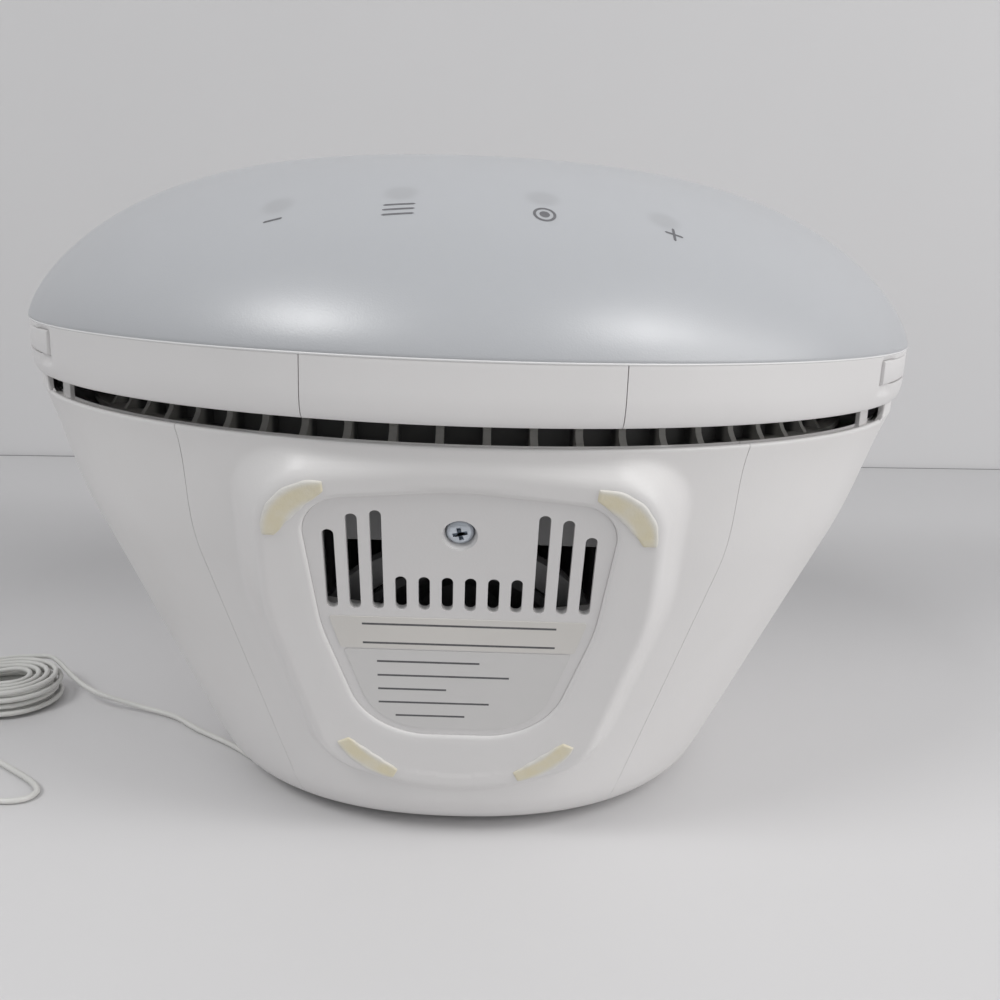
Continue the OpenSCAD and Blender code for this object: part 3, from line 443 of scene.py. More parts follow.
def loop_index(layer, u):
    """Which loop of its layer the wire lies in, u loops after the layer began."""
    if layer % 2 == 0:
        if layer == 0 or u >= 3 * CLIMB:
            return LOOPS - u
        return LOOPS - CLIMB + u if u < CLIMB else LOOPS - CATCH_UP * (u - CLIMB)
    if u < CLIMB:
        return -u
    return CATCH_UP * (u - CLIMB) - CLIMB if u < 3 * CLIMB else u - CLIMB


def place_hank(x, y, z):
    c, s = cos(HANK_TURN), sin(HANK_TURN)
    return HANK_AT + Vector((x * c - y * s, x * s + y * c, z))


def hank_point(turn):
    """Point of the wire so many turns into the hank: run, fold, run back and fold back."""
    layer = min(LAYERS - 1, int(turn // LOOPS))
    u = turn - layer * LOOPS
    r = FOLD + STEP * loop_index(layer, u)
    quarter = 4 * (turn % 1)
    part = int(quarter)
    t = quarter - part
    if part % 2 == 0:
        x, y = RUN * (0.5 - t), r * (1 - WAIST * sin(pi * t) ** 2)
    else:
        x, y = r * cos(pi / 2 + pi * t) - RUN / 2, r * sin(pi / 2 + pi * t)
    fit = HANK_FIT if part < 2 else -HANK_FIT
    left_to_climb = 1 - u / CLIMB if layer > 0 and u < CLIMB else 0
    return place_hank(fit * x, fit * y, HANK_LOW + LAYER * (LAYERS - 1 - layer + left_to_climb))


def smooth_route(points, per=3):
    """Catmull-Rom curve through the points."""
    pts = [Vector(p) for p in points]
    out = []
    for i in range(len(pts) - 1):
        p0, p1, p2, p3 = pts[max(0, i - 1)], pts[i], pts[i + 1], pts[min(len(pts) - 1, i + 2)]
        for k in range(per):
            t = k / per
            bend = (2 * p0 - 5 * p1 + 4 * p2 - p3) * t * t + (3 * p1 - p0 - 3 * p2 + p3) * t ** 3
            out.append(0.5 * (2 * p1 + (p2 - p0) * t + bend))
    out.append(pts[-1])
    return out


def antenna_route(per_turn=48):
    turns = LAYERS * LOOPS + 0.5
    hank = [hank_point(i / per_turn) for i in range(int(turns * per_turn) + 1)]
    along = Vector((cos(HANK_TURN), sin(HANK_TURN), 0)) * WIRE_D
    lead_in = [hank[0] + LEAD * along, hank[0] + along, hank[0]]
    lead_out = [hank[-1], hank[-1] + along, hank[-1] + LEAD * along]
    return smooth_route(WIRE_ROUTE + lead_in) + hank[1:-1] + smooth_route(lead_out + TAIL_ROUTE)


def antenna_piece(route):
    curve = bpy.data.curves.new("antenna", "CURVE")
    curve.dimensions = "3D"
    curve.bevel_depth = WIRE_D / 2 * MM
    curve.bevel_resolution = 3
    curve.use_fill_caps = True
    spline = curve.splines.new("POLY")
    spline.points.add(len(route) - 1)
    for point, p in zip(spline.points, route):
        point.co = (*p, 1)
    spline.use_smooth = True
    ob = new_object("antenna", curve)
    return dress(ob, WIRE, "antenna_wire", "antenna_hank", "antenna_tail", slot="wire_jacket")


def tie_piece():
    """Flat band round the waist of the hank, with rounded corners."""
    band, corner, half_w, chamfer, bevel, steps = 0.6, 1.6, 2.5, 0.2, 0.15, 8
    under, over, beside = 0.05, 0.3, 0.4
    far = (FOLD + STEP * LOOPS) * (1 - WAIST) + WIRE_D
    near = (FOLD + STEP * (LOOPS - 0.5)) * (1 - WAIST) + WIRE_D / 2 + beside
    low = HANK_LOW - WIRE_D / 2 - under - band + corner
    high = HANK_LOW + (LAYERS - 1) * LAYER + WIRE_D / 2 + over + band - corner
    right, left = far + band - corner, corner - near - band
    half = [(half_w, 1 - bevel), (half_w, bevel), (half_w - chamfer, 0)]
    section = [(-x, 1 - t) for x, t in half] + [(half_w - chamfer, 1)] + half + [(chamfer - half_w, 0)]
    section = [(x, corner - band * (1 - t)) for x, t in section]
    rings = []
    for cy, cz, start in ((right, high, 0), (left, high, 90), (left, low, 180), (right, low, 270)):
        for k in range(steps + 1):
            a = radians(start + 90 * k / steps)
            rings.append([place_hank(x, cy + r * cos(a), cz + r * sin(a)) for x, r in section])
    return add_piece("hank_band", sweep(rings, True), WIRE, "hank_tie", slot="wire_jacket")


route = [p * MM for p in antenna_route()]
antenna = antenna_piece(route)
tie = tie_piece()

# Dome and its printed marks

DRAW_IN = 0.25
DRAW_H = 0.5
COLLAR_HALF = 49
COLLAR_IN, COLLAR_OUT = 95.1, 96.8
COLLAR_LOW, COLLAR_TOP = 97.5, 106


def half_outline(radius, height, n, first=0.0):
    """Half outline of the dome, from its edge to its top."""
    out = []
    for i in range(n + 1):
        t = radians(first + (90 - first) * i / n)
        r = radius * max(0.0, cos(t)) ** (2 / DOME_POWER)
        out.append((r, EDGE + height * sin(t) ** (2 / DOME_ROUND)))
    out[-1] = (0.0, out[-1][1])
    return out


def drawn_in(r, z):
    """The dome draws in just above the rim, where the bead lies."""
    return r - DRAW_IN * max(0.0, 1 - (z - EDGE) / DRAW_H) ** 2, z


def dome_piece():
    edge_in, bevel_w, bevel_h = 0.3, 0.2, 0.3
    profile = [(DOME_R - DRAW_IN - edge_in, EDGE)]
    profile += [drawn_in(r, z) for r, z in half_outline(DOME_R, DOME_H, 72, first=1.0)]
    profile += list(reversed(half_outline(DOME_R - DOME_WALL, DOME_H - DOME_WALL, 32)))
    collar = [(COLLAR_IN, COLLAR_LOW), (COLLAR_OUT - bevel_w, COLLAR_LOW), (COLLAR_OUT, COLLAR_LOW + bevel_h),
              (COLLAR_OUT, COLLAR_TOP), (COLLAR_IN, COLLAR_TOP)]
    collars = [lathe(collar, a - COLLAR_HALF, a + COLLAR_HALF, 96) for a in (-90, 90)]
    part = merge(lathe(profile, n=288), *collars)
    add_piece("dome", part, FROST, "diffuser_dome", slot="frosted_plastic")


def dome_bar(x0, y0, x1, y1, w, n=14, blunt=0.12):
    """A printed stroke that follows the dome, with rounded ends."""
    start = Vector((x0, y0))
    d = Vector((x1, y1)) - start
    length = d.length
    d.normalize()
    side = Vector((-d.y, d.x))
    verts = []
    for i in range(n + 1):
        s = length * i / n
        end = min(s, length - s, w / 2)
        half = max(sqrt((w / 2) ** 2 - (w / 2 - end) ** 2), w * blunt)
        for k in (-1, 0, 1):
            p = start + d * s + side * half * k
            verts.append(on_dome(p.x, p.y))
    return verts, grid_faces(0, n + 1, 3)


def dome_ring(x, y, r, w, n=36):
    verts = []
    for i in range(n + 1):
        a = 2 * pi * i / n
        verts += [on_dome(x + q * cos(a), y + q * sin(a)) for q in (r - w / 2, r, r + w / 2)]
    return verts, grid_faces(0, n + 1, 3)


def touch_marks():
    """Minus, list, ring and plus, under the four touch spots."""
    stroke, line_step = 0.5, 1.4
    half_wide, half_high, half_line = 1.6, 1.7, 2.7
    ring_r, dot_r, dot_w = 1.7, 0.45, 0.85
    minus_x, list_x, ring_x, plus_x = -33.0, -11.9, 12.2, 34.3
    minus_y, list_y, ring_y, plus_y = -76.3, -76.9, -78.2, -75.4
    levels = [(minus_x, minus_y, half_wide)]
    levels += [(list_x, list_y - line_step * i, half_line) for i in range(3)]
    levels += [(plus_x, plus_y, half_wide)]
    parts = [dome_bar(x - half, y, x + half, y, stroke) for x, y, half in levels]
    parts += [dome_bar(plus_x, plus_y - half_high, plus_x, plus_y + half_high, stroke)]
    parts += [dome_ring(ring_x, ring_y, ring_r, stroke), dome_ring(ring_x, ring_y, dot_r, dot_w)]
    add_piece("touch_marks", merge(*parts), MARK, slot="dark_plastic")


dome_piece()
touch_marks()

# Rim, its lower insert and the four keys

WEB_TOP, WEB_LOW, WEB_IN_R = 95.7, 93.5, 81.0
SKIRT_IN_R = 95.9
SHOULDER_DROP = 5.2
TOP_ROUND = 0.3
BEAD_R = 0.24
INSERT_HALF = 14.8
INSERT_GAP = 0.13
KEY_DROP, KEY_H = 1.1, 4.6
KEY_TOP = EDGE - KEY_DROP
KEY_LOW = KEY_TOP - KEY_H
# Rounding of a key's long edges, as (distance inwards, distance from the edge)
KEY_EDGE = ((0.35, 0.0), (0.1, 0.12), (0.0, 0.4))
KEY_HALF, KEY_MID = 17.6, 19.8
KEY_CLEAR = 0.12
KEY_W = RIM_R * sin(radians(KEY_HALF))
KEYS = {"right_upper_key": KEY_MID, "right_lower_key": -KEY_MID,
        "left_upper_key": 180 - KEY_MID, "left_lower_key": 180 + KEY_MID}
FLANGE_LAP = 0.8
FLANGE_RISE = 0.3
FLANGE_IN, FLANGE_OUT = 95.2, 96.6
# Finger hollow: degrees past the key and under it, depth, height and how it fades at top and bottom
SCOOP_LONG, SCOOP_UNDER = 2.4, 3
SCOOP_DEPTH = 0.7
SCOOP_TOP, SCOOP_LOW = EDGE - 0.5, EDGE - 8.0
SCOOP_FADE_TOP, SCOOP_FADE_LOW = 0.8, 1.2
# How far cutting tools reach past the rim
CUT_PAST = 2


def rim_outside(n=20):
    """Outside of the rim from its tucked-in foot to the edge that frames the dome."""
    out = []
    for i in range(n, -1, -1):
        a = radians(90 * i / n)
        out.append((RIM_R - RIM_TUCK * (1 - cos(a)), EDGE - SHOULDER_DROP - (RIM_H - SHOULDER_DROP) * sin(a)))
    straight, round_n = (3.0, 2.0, 1.1), 6
    out += [(RIM_R, EDGE - drop) for drop in straight]
    for i in range(round_n + 1):
        a = radians(90 * i / round_n)
        out.append((RIM_R - TOP_ROUND * (1 - cos(a)), EDGE - TOP_ROUND * (1 - sin(a))))
    return out


def key_block(profile, mid, half_w, n=48):
    """Part of a ring about Z from a closed (r, z) polygon, with ends parallel to the key's travel."""
    c, s = cos(radians(mid)), sin(radians(mid))
    rings = []
    for i in range(n + 1):
        w = half_w * (2 * i / n - 1)
        depths = [(sqrt(r * r - w * w), z) for r, z in profile]
        rings.append([(d * c - w * s, d * s + w * c, z) for d, z in depths])
    return sweep(rings, False)


def smooth_step(t):
    t = min(1.0, max(0.0, t))
    return t * t * (3 - 2 * t)


def scooped(part):
    """A shallow hollow for the finger beyond the outer end of each pair of keys."""
    verts, faces = part
    key_end = KEY_MID + degrees(asin((KEY_W + KEY_CLEAR) / RIM_R))
    out = []
    for x, y, z in verts:
        r = sqrt(x * x + y * y)
        angle = abs(degrees(atan2(y, x)))
        past = min(angle, 180 - angle) - key_end
        if r > RIM_IN_R + 1 and -SCOOP_UNDER < past < SCOOP_LONG:
            side = (1 - max(0.0, past) / SCOOP_LONG) ** 2
            below_top = smooth_step((SCOOP_TOP - z) / SCOOP_FADE_TOP)
            over_low = smooth_step((z - SCOOP_LOW) / SCOOP_FADE_LOW)
            k = (r - SCOOP_DEPTH * side * below_top * over_low) / r
            x, y = x * k, y * k
        out.append((x, y, z))
    return out, faces


def rim_piece():
    profile = [(WEB_IN_R, WEB_LOW), (SKIRT_IN_R, WEB_LOW), (SKIRT_IN_R, RIM_LOW)] + rim_outside()
    profile += [(RIM_IN_R, EDGE), (RIM_IN_R, WEB_TOP), (WEB_IN_R, WEB_TOP)]
    ob = add_object("rim", *scooped(lathe(profile, n=480)))
    low, top = KEY_LOW - KEY_CLEAR, KEY_TOP + KEY_CLEAR
    window_r, pocket_r, past_r = RIM_IN_R - 0.5, RIM_IN_R - 0.4, RIM_R + CUT_PAST
    hole = [(window_r, low), (past_r, low), (past_r, top), (window_r, top)]
    windows = [key_block(hole, mid, KEY_W + KEY_CLEAR) for mid in KEYS.values()]
    pocket = sector(pocket_r, past_r, RIM_LOW - CUT_PAST, EDGE + CUT_PAST, -90, INSERT_HALF, 60)
    cut(ob, pocket, *windows)
    soften(ob, 0.15)
    dress(ob, RIM, "rim_ring")


def bead_piece():
    """The moulded edge between rim and dome, paler than the rim as a painted highlight."""
    bead_in, bead_up = 0.1, 0.04
    profile = [(x, EDGE + y) for x, y in circle(RIM_R - bead_in, bead_up, BEAD_R, 12)]
    add_piece("rim_bead", lathe(profile, n=480), BEAD_HIGHLIGHT)


def insert_piece():
    half = INSERT_HALF - degrees(INSERT_GAP / RIM_R)
    profile = [(RIM_IN_R, RIM_LOW)] + rim_outside() + [(RIM_IN_R, EDGE)]
    part = lathe(profile, -90 - half, -90 + half, 64)
    add_piece("rim_insert", part, RIM, "rim_lower_insert", edge=0.1)


def key_piece(key, mid):
    lower = [(RIM_R - inwards, KEY_LOW + h) for inwards, h in KEY_EDGE]
    upper = [(RIM_R - inwards, KEY_TOP - h) for inwards, h in reversed(KEY_EDGE)]
    face = [(SKIRT_IN_R, KEY_LOW)] + lower + upper + [(SKIRT_IN_R, KEY_TOP)]
    low, top = KEY_LOW - FLANGE_RISE, KEY_TOP + FLANGE_RISE
    flange = [(FLANGE_IN, low), (FLANGE_OUT, low), (FLANGE_OUT, top), (FLANGE_IN, top)]
    part = merge(key_block(face, mid, KEY_W), key_block(flange, mid, KEY_W + FLANGE_LAP))
    add_piece(key + "_cap", part, RIM, key, edge=0.2, body=key + "_body")


rim_piece()
bead_piece()
insert_piece()
for key, mid in KEYS.items():
    key_piece(key, mid)

# Housing: a loft of rounded rings, open in front for the panel

LIP, LIP_R, SIDE_R = 88.3, 95.3, 98.0
TILT, SIDE_TAPER, BACK_TAPER = radians(20), radians(24.5), radians(28)
FOOT, FRONT_MORE = 12.5, 4.5
WALL, FLOOR = 2.5, 3.5
BLEND, FULLNESS = 25.0, 2.25
LIP_SINK = 0.25
LIP_ROUND = 0.8
LIP_EDGE = LIP - LIP_SINK
PANEL_HALF = 30.0
SEAM_TURN = radians(20)
SEAM_Z = FOOT * (1 - cos(SEAM_TURN))
SEAM_Z_IN = FLOOR + (FOOT - FLOOR) * (1 - cos(SEAM_TURN))
SIDE_GAP = 0.1
SILL_GAP = 0.2
# Top of the lip sloping inwards, as (height over the lip, distance from the outside)
LIP_TOP = ((-0.25, 1.2), (-0.6, 2.62))
VENT_HALF = 60.2
NECK_WALL = 0.9
NECK_ROUND = 0.4
NECK_LAP, NECK_GAP, NECK_INSET = 0.2, 0.08, 0.03
STRUT_AT, STRUT_HALF = 56, 1.8
STRUT_IN_R, STRUT_OUT_R = 94.0, 95.0
STRUT_LOW, STRUT_TOP = LIP - 2.4, RIM_LOW + 0.8
# Degrees over which the foot's round gets rings of its own
FOOT_SWEEP = 73
# Rings this near the seam are left out, below it and above it
CLOSE_BELOW, CLOSE_ABOVE = 0.1, 0.15


def reach(z, low, top_r, taper, foot_r):
    """Distance of the skin from the axis at height z: a tapered wall on a rounded foot."""
    low_r = top_r - (LIP - low) * tan(taper)
    h = z - low
    if h < foot_r * (1 - sin(taper)):
        return low_r - foot_r * tan(pi / 4 - taper / 2) + sqrt(max(0.0, foot_r ** 2 - (foot_r - h) ** 2))
    return low_r + h * tan(taper)


def ring(level, low, in_by, foot_r, angles):
    """One level of the loft: an ellipse at the lip that grows fuller lower down."""
    z, inset = level
    k = 2 / (2 + (FULLNESS - 2) * smooth_step((LIP - z) / BLEND))
    side = reach(z, low, SIDE_R - in_by / cos(SIDE_TAPER), SIDE_TAPER, foot_r) - inset
    front = reach(z, low, LIP_R - in_by / cos(TILT), TILT, foot_r + FRONT_MORE) - inset
    back = reach(z, low, LIP_R - in_by / cos(BACK_TAPER), BACK_TAPER, foot_r) - inset
    out = []
    for a in angles:
        c, s = cos(radians(a)), sin(radians(a))
        deep = front if s < 0 else back
        out.append((side * copysign(abs(c) ** k, c), deep * copysign(abs(s) ** k, s), z))
    return out


def outer(level, angles):
    return ring(level, 0.0, 0.0, FOOT, angles)


def inner(level, angles):
    return ring(level, FLOOR, WALL, FOOT - FLOOR, angles)


def skin_levels(low, foot_r, foot_n, mid_n, top_n):
    """Heights of the loft's rings, from the foot to where the lip begins."""
    turn = foot_r * (1 - cos(radians(FOOT_SWEEP)))
    levels = [(low + foot_r * (1 - cos(radians(FOOT_SWEEP * i / foot_n))), 0.0) for i in range(foot_n)]
    levels += [(low + turn + (LIP - BLEND - low - turn) * i / mid_n, 0.0) for i in range(mid_n)]
    top = LIP_EDGE - LIP_ROUND
    levels += [(LIP - BLEND + (top - LIP + BLEND) * i / top_n, 0.0) for i in range(top_n + 1)]
    return levels


def outer_levels(foot_n, mid_n, top_n, lip_n=9):
    levels = skin_levels(0, FOOT, foot_n, mid_n, top_n)
    for i in range(1, lip_n + 1):
        a = radians(90 * i / lip_n)
        levels.append((LIP_EDGE - LIP_ROUND * (1 - sin(a)), LIP_ROUND * (1 - cos(a))))
    return levels + [(LIP_EDGE + h, inset) for h, inset in LIP_TOP]


def inner_levels():
    return skin_levels(FLOOR, FOOT - FLOOR, 8, 6, 6) + [(LIP_EDGE, 0.0)]


def below(levels, z):
    return [lv for lv in levels if lv[0] < z - CLOSE_BELOW] + [(z, 0.0)]


def above(levels, z):
    first = next(i for i, lv in enumerate(levels) if lv[0] > z + CLOSE_ABOVE)
    return levels[first:]


def housing_parts(wall_n=260, sill_n=48):
    wall = [PANEL_HALF - 90 + (360 - 2 * PANEL_HALF) * i / wall_n for i in range(wall_n + 1)]
    sill = [-PANEL_HALF - 90 + 2 * PANEL_HALF * i / sill_n for i in range(1, sill_n)]
    angles = wall + sill
    full = len(angles)
    verts, faces = [], []
    rows, low_count = {}, {}
    for make, levels, seam in ((outer, outer_levels(14, 16, 14), SEAM_Z), (inner, inner_levels(), SEAM_Z_IN)):
        low = below(levels, seam)
        rows[make] = []
        low_count[make] = len(low)
        for level in low:
            rows[make].append(len(verts))
            verts += make(level, angles)
        for level in above(levels, seam):
            rows[make].append(len(verts))
            verts += make(level, wall)
        for j, (a, b) in enumerate(zip(rows[make], rows[make][1:])):
            faces += row_faces(a, b, 0, wall_n, full)
            if j < len(low) - 1:
                faces += row_faces(a, b, wall_n, full, full)
        faces.append(tuple(rows[make][0] + i for i in range(full)))
    faces += row_faces(rows[outer][-1], rows[inner][-1], 0, wall_n, full)
    a, b = rows[outer][low_count[outer] - 1], rows[inner][low_count[inner] - 1]
    faces += row_faces(a, b, wall_n, full, full)
    for end in (0, wall_n):
        up = [r + end for r in rows[outer][low_count[outer] - 1:]]
        down = [r + end for r in reversed(rows[inner][low_count[inner] - 1:])]
        faces.append(tuple(up + down))
    return verts, faces


def neck(side_angle, n=96, rows=14):
    """Wall that closes the gap between lip and rim at one side, flush with the skin."""
    low, top = LIP_EDGE - LIP_ROUND - NECK_LAP, RIM_LOW - NECK_GAP
    round_r = (RIM_LOW - LIP_EDGE) / 2
    heights = [low + (top - low) * i / rows for i in range(rows + 1)]
    rings = []
    for i in range(n + 1):
        across = sin(pi * (i / n - 0.5))
        section = []
        for depth, levels in ((NECK_INSET, heights), (NECK_WALL, list(reversed(heights)))):
            for z in levels:
                h = max(0.0, z - LIP_EDGE) - round_r
                flare = round_r - sqrt(max(0.0, round_r ** 2 - h * h))
                half = 90 - VENT_HALF + degrees(flare / SIDE_R)
                turn = max(0.0, 1 - radians(half * (1 - abs(across))) * SIDE_R / NECK_ROUND)
                inset = depth + NECK_ROUND * (1 - sqrt(1 - turn ** 2))
                x, y, _ = outer((min(z, LIP), inset), [side_angle + across * half])[0]
                section.append((x, y, z))
        rings.append(section)
    return sweep(rings, False)


def posts(xs, ys, r, top):
    return [prism(circle(x, y, r, 32), FLOOR / 2, top) for x in xs for y in ys]


def housing_pieces():
    shell = add_object("housing", *housing_parts(), angle=32)
    connector_bay = block(x0=-17.2, x1=17.2, y0=-8.2, y1=18.2, z0=-1, z1=FLOOR + 1)
    wire_groove = block(x0=-99.5, x1=-20, y0=-37.5, y1=-34.5, z0=-1, z1=2.4)
    cut(shell, connector_bay, wire_groove, angle=32)
    dress(shell, WHITE, "rear_housing")
    add_piece("housing_neck", merge(neck(0), neck(180)), WHITE, angle=40)
    parts = posts((-34, 34), (-18, 18), r=5, top=82.3) + posts((-22, 22), (-6, 28), r=3.2, top=18)
    for mid in (-90, 90):
        for turn in (-STRUT_AT, STRUT_AT):
            parts.append(sector(STRUT_IN_R, STRUT_OUT_R, STRUT_LOW, STRUT_TOP, mid + turn, STRUT_HALF, 8))
    add_piece("housing_inside", merge(*parts), WHITE, edge=0.2)


housing_pieces()

# Standing face: x across, v up along the face, h out of it

RISE = 0.6
FACE_DROP = 6.3
FACE_0 = np.array((0.0, -(LIP_R - FACE_DROP * tan(TILT)), LIP - FACE_DROP))
FACE_UP = np.array((0.0, -sin(TILT), cos(TILT)))
FACE_OUT = np.array((0.0, -cos(TILT), -sin(TILT)))
SHOULDER_IN = 1.7
SHOULDER_R = 2.6
SHOULDER_TURN = 0.84
SHOULDER_BLEND = 1.6
# How far out the shoulder is drawn, and how far in the face is flat
SHOULDER_REACH, FLAT_IN = 14, 2.5
DISH_W, DISH_D = 2.6, 0.2
DISH_TOP, DISH_FADE = -4, 4
PLATE_GAP = 0.05
FRAME_W = 1.0
FRAME_TOP = -0.07
PLATE_SINK = 0.6
PLATE_T = 1.3
PLATE_BACK = -PLATE_SINK - PLATE_T
# Slots from the middle outwards
SLOT_TOPS = (-19.5, -19.5, -19.5, -6.0, -6.8, -10.1)
SLOT_LOW, SLOT_W, SLOT_PITCH = -26.9, 2.0, 4.0
SCREW_V = -10.6
SCREW_HOLE_R = 3.0


def face_to_world(part):
    verts, faces = part
    out = []
    for x, v, h in verts:
        p = FACE_0 + FACE_UP * v + FACE_OUT * (h + RISE)
        out.append((x, p[1], p[2]))
    return out, faces


def rounded(points, n=14):
    """Outline through (x, y, corner radius) points."""
    out = []
    for i, (x, y, r) in enumerate(points):
        before = Vector(points[i - 1][:2])
        after = Vector(points[(i + 1) % len(points)][:2])
        corner = Vector((x, y))
        u, v = (before - corner).normalized(), (after - corner).normalized()
        half = acos(max(-1, min(1, u.dot(v)))) / 2
        centre = corner + (u + v).normalized() * r / sin(half)
        a, b = corner + u * r / tan(half) - centre, corner + v * r / tan(half) - centre
        start = atan2(a.y, a.x)
        turn = (atan2(b.y, b.x) - start + 3 * pi) % (2 * pi) - pi
        for k in range(n + 1):
            t = start + turn * k / n
            out.append((centre.x + r * cos(t), centre.y + r * sin(t)))
    return out


def mirrored(points):
    return points + [(-x, y, r) for x, y, r in reversed(points) if abs(x) > 1e-6]


FACE_OUTLINE = rounded(mirrored([(0, 3.6, 80), (33.8, 0.2, 10.5), (34.4, -27, 60), (25.2, -66.0, 13),
                                 (0, -75.4, 42)]))


def plate_outline(g):
    """Outline of the plate, or of its recess with a gap g round it."""
    return rounded(mirrored([(0, -1.9 + g, 60), (26.8 + g, -4.4 + g, 7 + g), (24.2 + g, -31, 40),
                             (16.5 + g, -57.6 - g, 15 + g)]))


def outline_distance(pts, outline):
    """Signed distance of many points from a closed outline, negative inside."""
    poly = np.array(outline)
    best = np.full(len(pts), 1e9)
    inside = np.zeros(len(pts), bool)
    for p, q in zip(poly, np.roll(poly, -1, axis=0)):
        d = q - p
        t = np.clip(((pts - p) @ d) / max(1e-9, d @ d), 0, 1)
        best = np.minimum(best, np.hypot(*(pts - (p + t[:, None] * d)).T))
        if abs(d[1]) > 1e-12:
            between = (p[1] > pts[:, 1]) != (q[1] > pts[:, 1])
            inside ^= between & (pts[:, 0] < d[0] * (pts[:, 1] - p[1]) / d[1] + p[0])
    return np.where(inside, -best, best)


def plateau(points):
    """Raises the skin to the flat standing face with a soft shoulder, dished a little round the plate."""
    p = np.array(points)
    from_0 = p - FACE_0
    v, h = from_0 @ FACE_UP, from_0 @ FACE_OUT - RISE
    at = np.stack([p[:, 0], v], 1)
    past = outline_distance(at, FACE_OUTLINE) + SHOULDER_IN
    turn = SHOULDER_TURN * SHOULDER_R
    drop = np.sqrt(SHOULDER_R ** 2 - np.clip(past, 0, turn) ** 2) - SHOULDER_R
    drop -= np.maximum(past - turn, 0) * SHOULDER_TURN / sqrt(1 - SHOULDER_TURN ** 2)
    blend = np.maximum(SHOULDER_BLEND - np.abs(h - drop), 0) ** 2 / (4 * SHOULDER_BLEND)
    lift = np.where(past > SHOULDER_REACH, 0.0, np.maximum(h, drop) + blend - h)
    flat = past < -FLAT_IN
    lift[flat] = -h[flat]
    near = np.clip(1 - outline_distance(at, plate_outline(0)) / DISH_W, 0, 1)
    lift -= DISH_D * near ** 2 * np.clip((DISH_TOP - v) / DISH_FADE, 0, 1)
    return [tuple(q) for q in p + FACE_OUT * lift[:, None]]


def panel_parts(n=240):
    half = PANEL_HALF - degrees(SIDE_GAP / LIP_R)
    angles = [-half - 90 + 2 * half * i / n for i in range(n + 1)]
    out_lv = [(SEAM_Z + SILL_GAP, 0.0)] + above(outer_levels(20, 96, 40), SEAM_Z + SILL_GAP)
    in_lv = [(SEAM_Z_IN + SILL_GAP, 0.0)] + above(inner_levels(), SEAM_Z_IN + SILL_GAP)
    m, no, ni = n + 1, len(out_lv), len(in_lv)
    verts = plateau([p for level in out_lv for p in outer(level, angles)])
    base = len(verts)
    verts += [p for level in in_lv for p in inner(level, angles)]
    faces = grid_faces(0, no, m) + grid_faces(base, ni, m)
    for a, b in (((no - 1) * m, base + (ni - 1) * m), (0, base)):
        faces += row_faces(a, b, 0, n, m)
    for end in (0, n):
        up = [j * m + end for j in range(no)]
        down = [base + j * m + end for j in reversed(range(ni))]
        faces.append(tuple(up + down))
    return verts, faces


def panel_piece():
    """Front panel, with a seat for the plate and a window behind the slots."""
    lap, seat_top, window_back, window_front = 0.02, 6, -9, -1
    half = [(23.6, -28.1), (23.6, -9.5), (19.6, -4.9)]
    window = half + [(-x, v) for x, v in reversed(half)]
    ob = add_object("panel", *panel_parts(), angle=50)
    seat = prism(plate_outline(FRAME_W - lap), PLATE_BACK, seat_top)
    cut(ob, face_to_world(seat), face_to_world(prism(window, window_back, window_front)), angle=50)
    dress(ob, WHITE, "base_shell")


def frame_piece(n=6):
    """Rounded edge of the panel's recess, down to the plate."""
    section = []
    for i in range(n + 1):
        a = radians(90 * i / n)
        h = FRAME_TOP - (FRAME_TOP + PLATE_SINK) * (1 - cos(a))
        section.append((FRAME_W - (FRAME_W - PLATE_GAP) * sin(a), h))
    section += [(PLATE_GAP, PLATE_BACK), (FRAME_W, PLATE_BACK)]
    rows = [[(x, v, h) for x, v in plate_outline(g)] for g, h in section]
    add_piece("panel_recess", face_to_world(sweep(list(zip(*rows)), True)), WHITE)


def slot_outline(x, top, n=14):
    r = SLOT_W / 2
    turn = [(r * cos(pi * i / n), r * sin(pi * i / n)) for i in range(n + 1)]
    upper = [(x + c, top - r + s) for c, s in turn]
    return upper + [(x - c, SLOT_LOW + r - s) for c, s in turn]


def face_lathe(profile, n=48):
    """Turned piece with its axis through the screw."""
    verts, faces = lathe(profile, n=n)
    return face_to_world(([(x, y + SCREW_V, z) for x, y, z in verts], faces))


def plate_pieces():
    """Slotted plate, and the cup with a conical seat for its screw."""
    plate = add_object("plate", *face_to_world(prism(plate_outline(0), PLATE_BACK, -PLATE_SINK)))
    cut_back, cut_front = -4, 1
    holes = [circle(0, SCREW_V, SCREW_HOLE_R)]
    for i, top in enumerate(SLOT_TOPS):
        for side in (-1, 1):
            holes.append(slot_outline(side * (i + 0.5) * SLOT_PITCH, top))
    cut(plate, *[face_to_world(prism(hole, cut_back, cut_front)) for hole in holes], angle=30)
    soften(plate, 0.16, 2, 30)
    dress(plate, PLATE, "base_plate")
    bore_r, seat_r, wall_r, cup_r = 1.7, 2.5, SCREW_HOLE_R - 0.01, 4.0
    bottom, seat, cone_low, cone_top = -4.5, -2.75, -1.85, -1.0
    cup = [(bore_r, bottom), (cup_r, bottom), (cup_r, PLATE_BACK), (wall_r, PLATE_BACK), (wall_r, cone_top),
           (seat_r, cone_low), (seat_r, seat), (bore_r, seat)]
    add_piece("plate_cup", face_lathe(cup), PLATE)


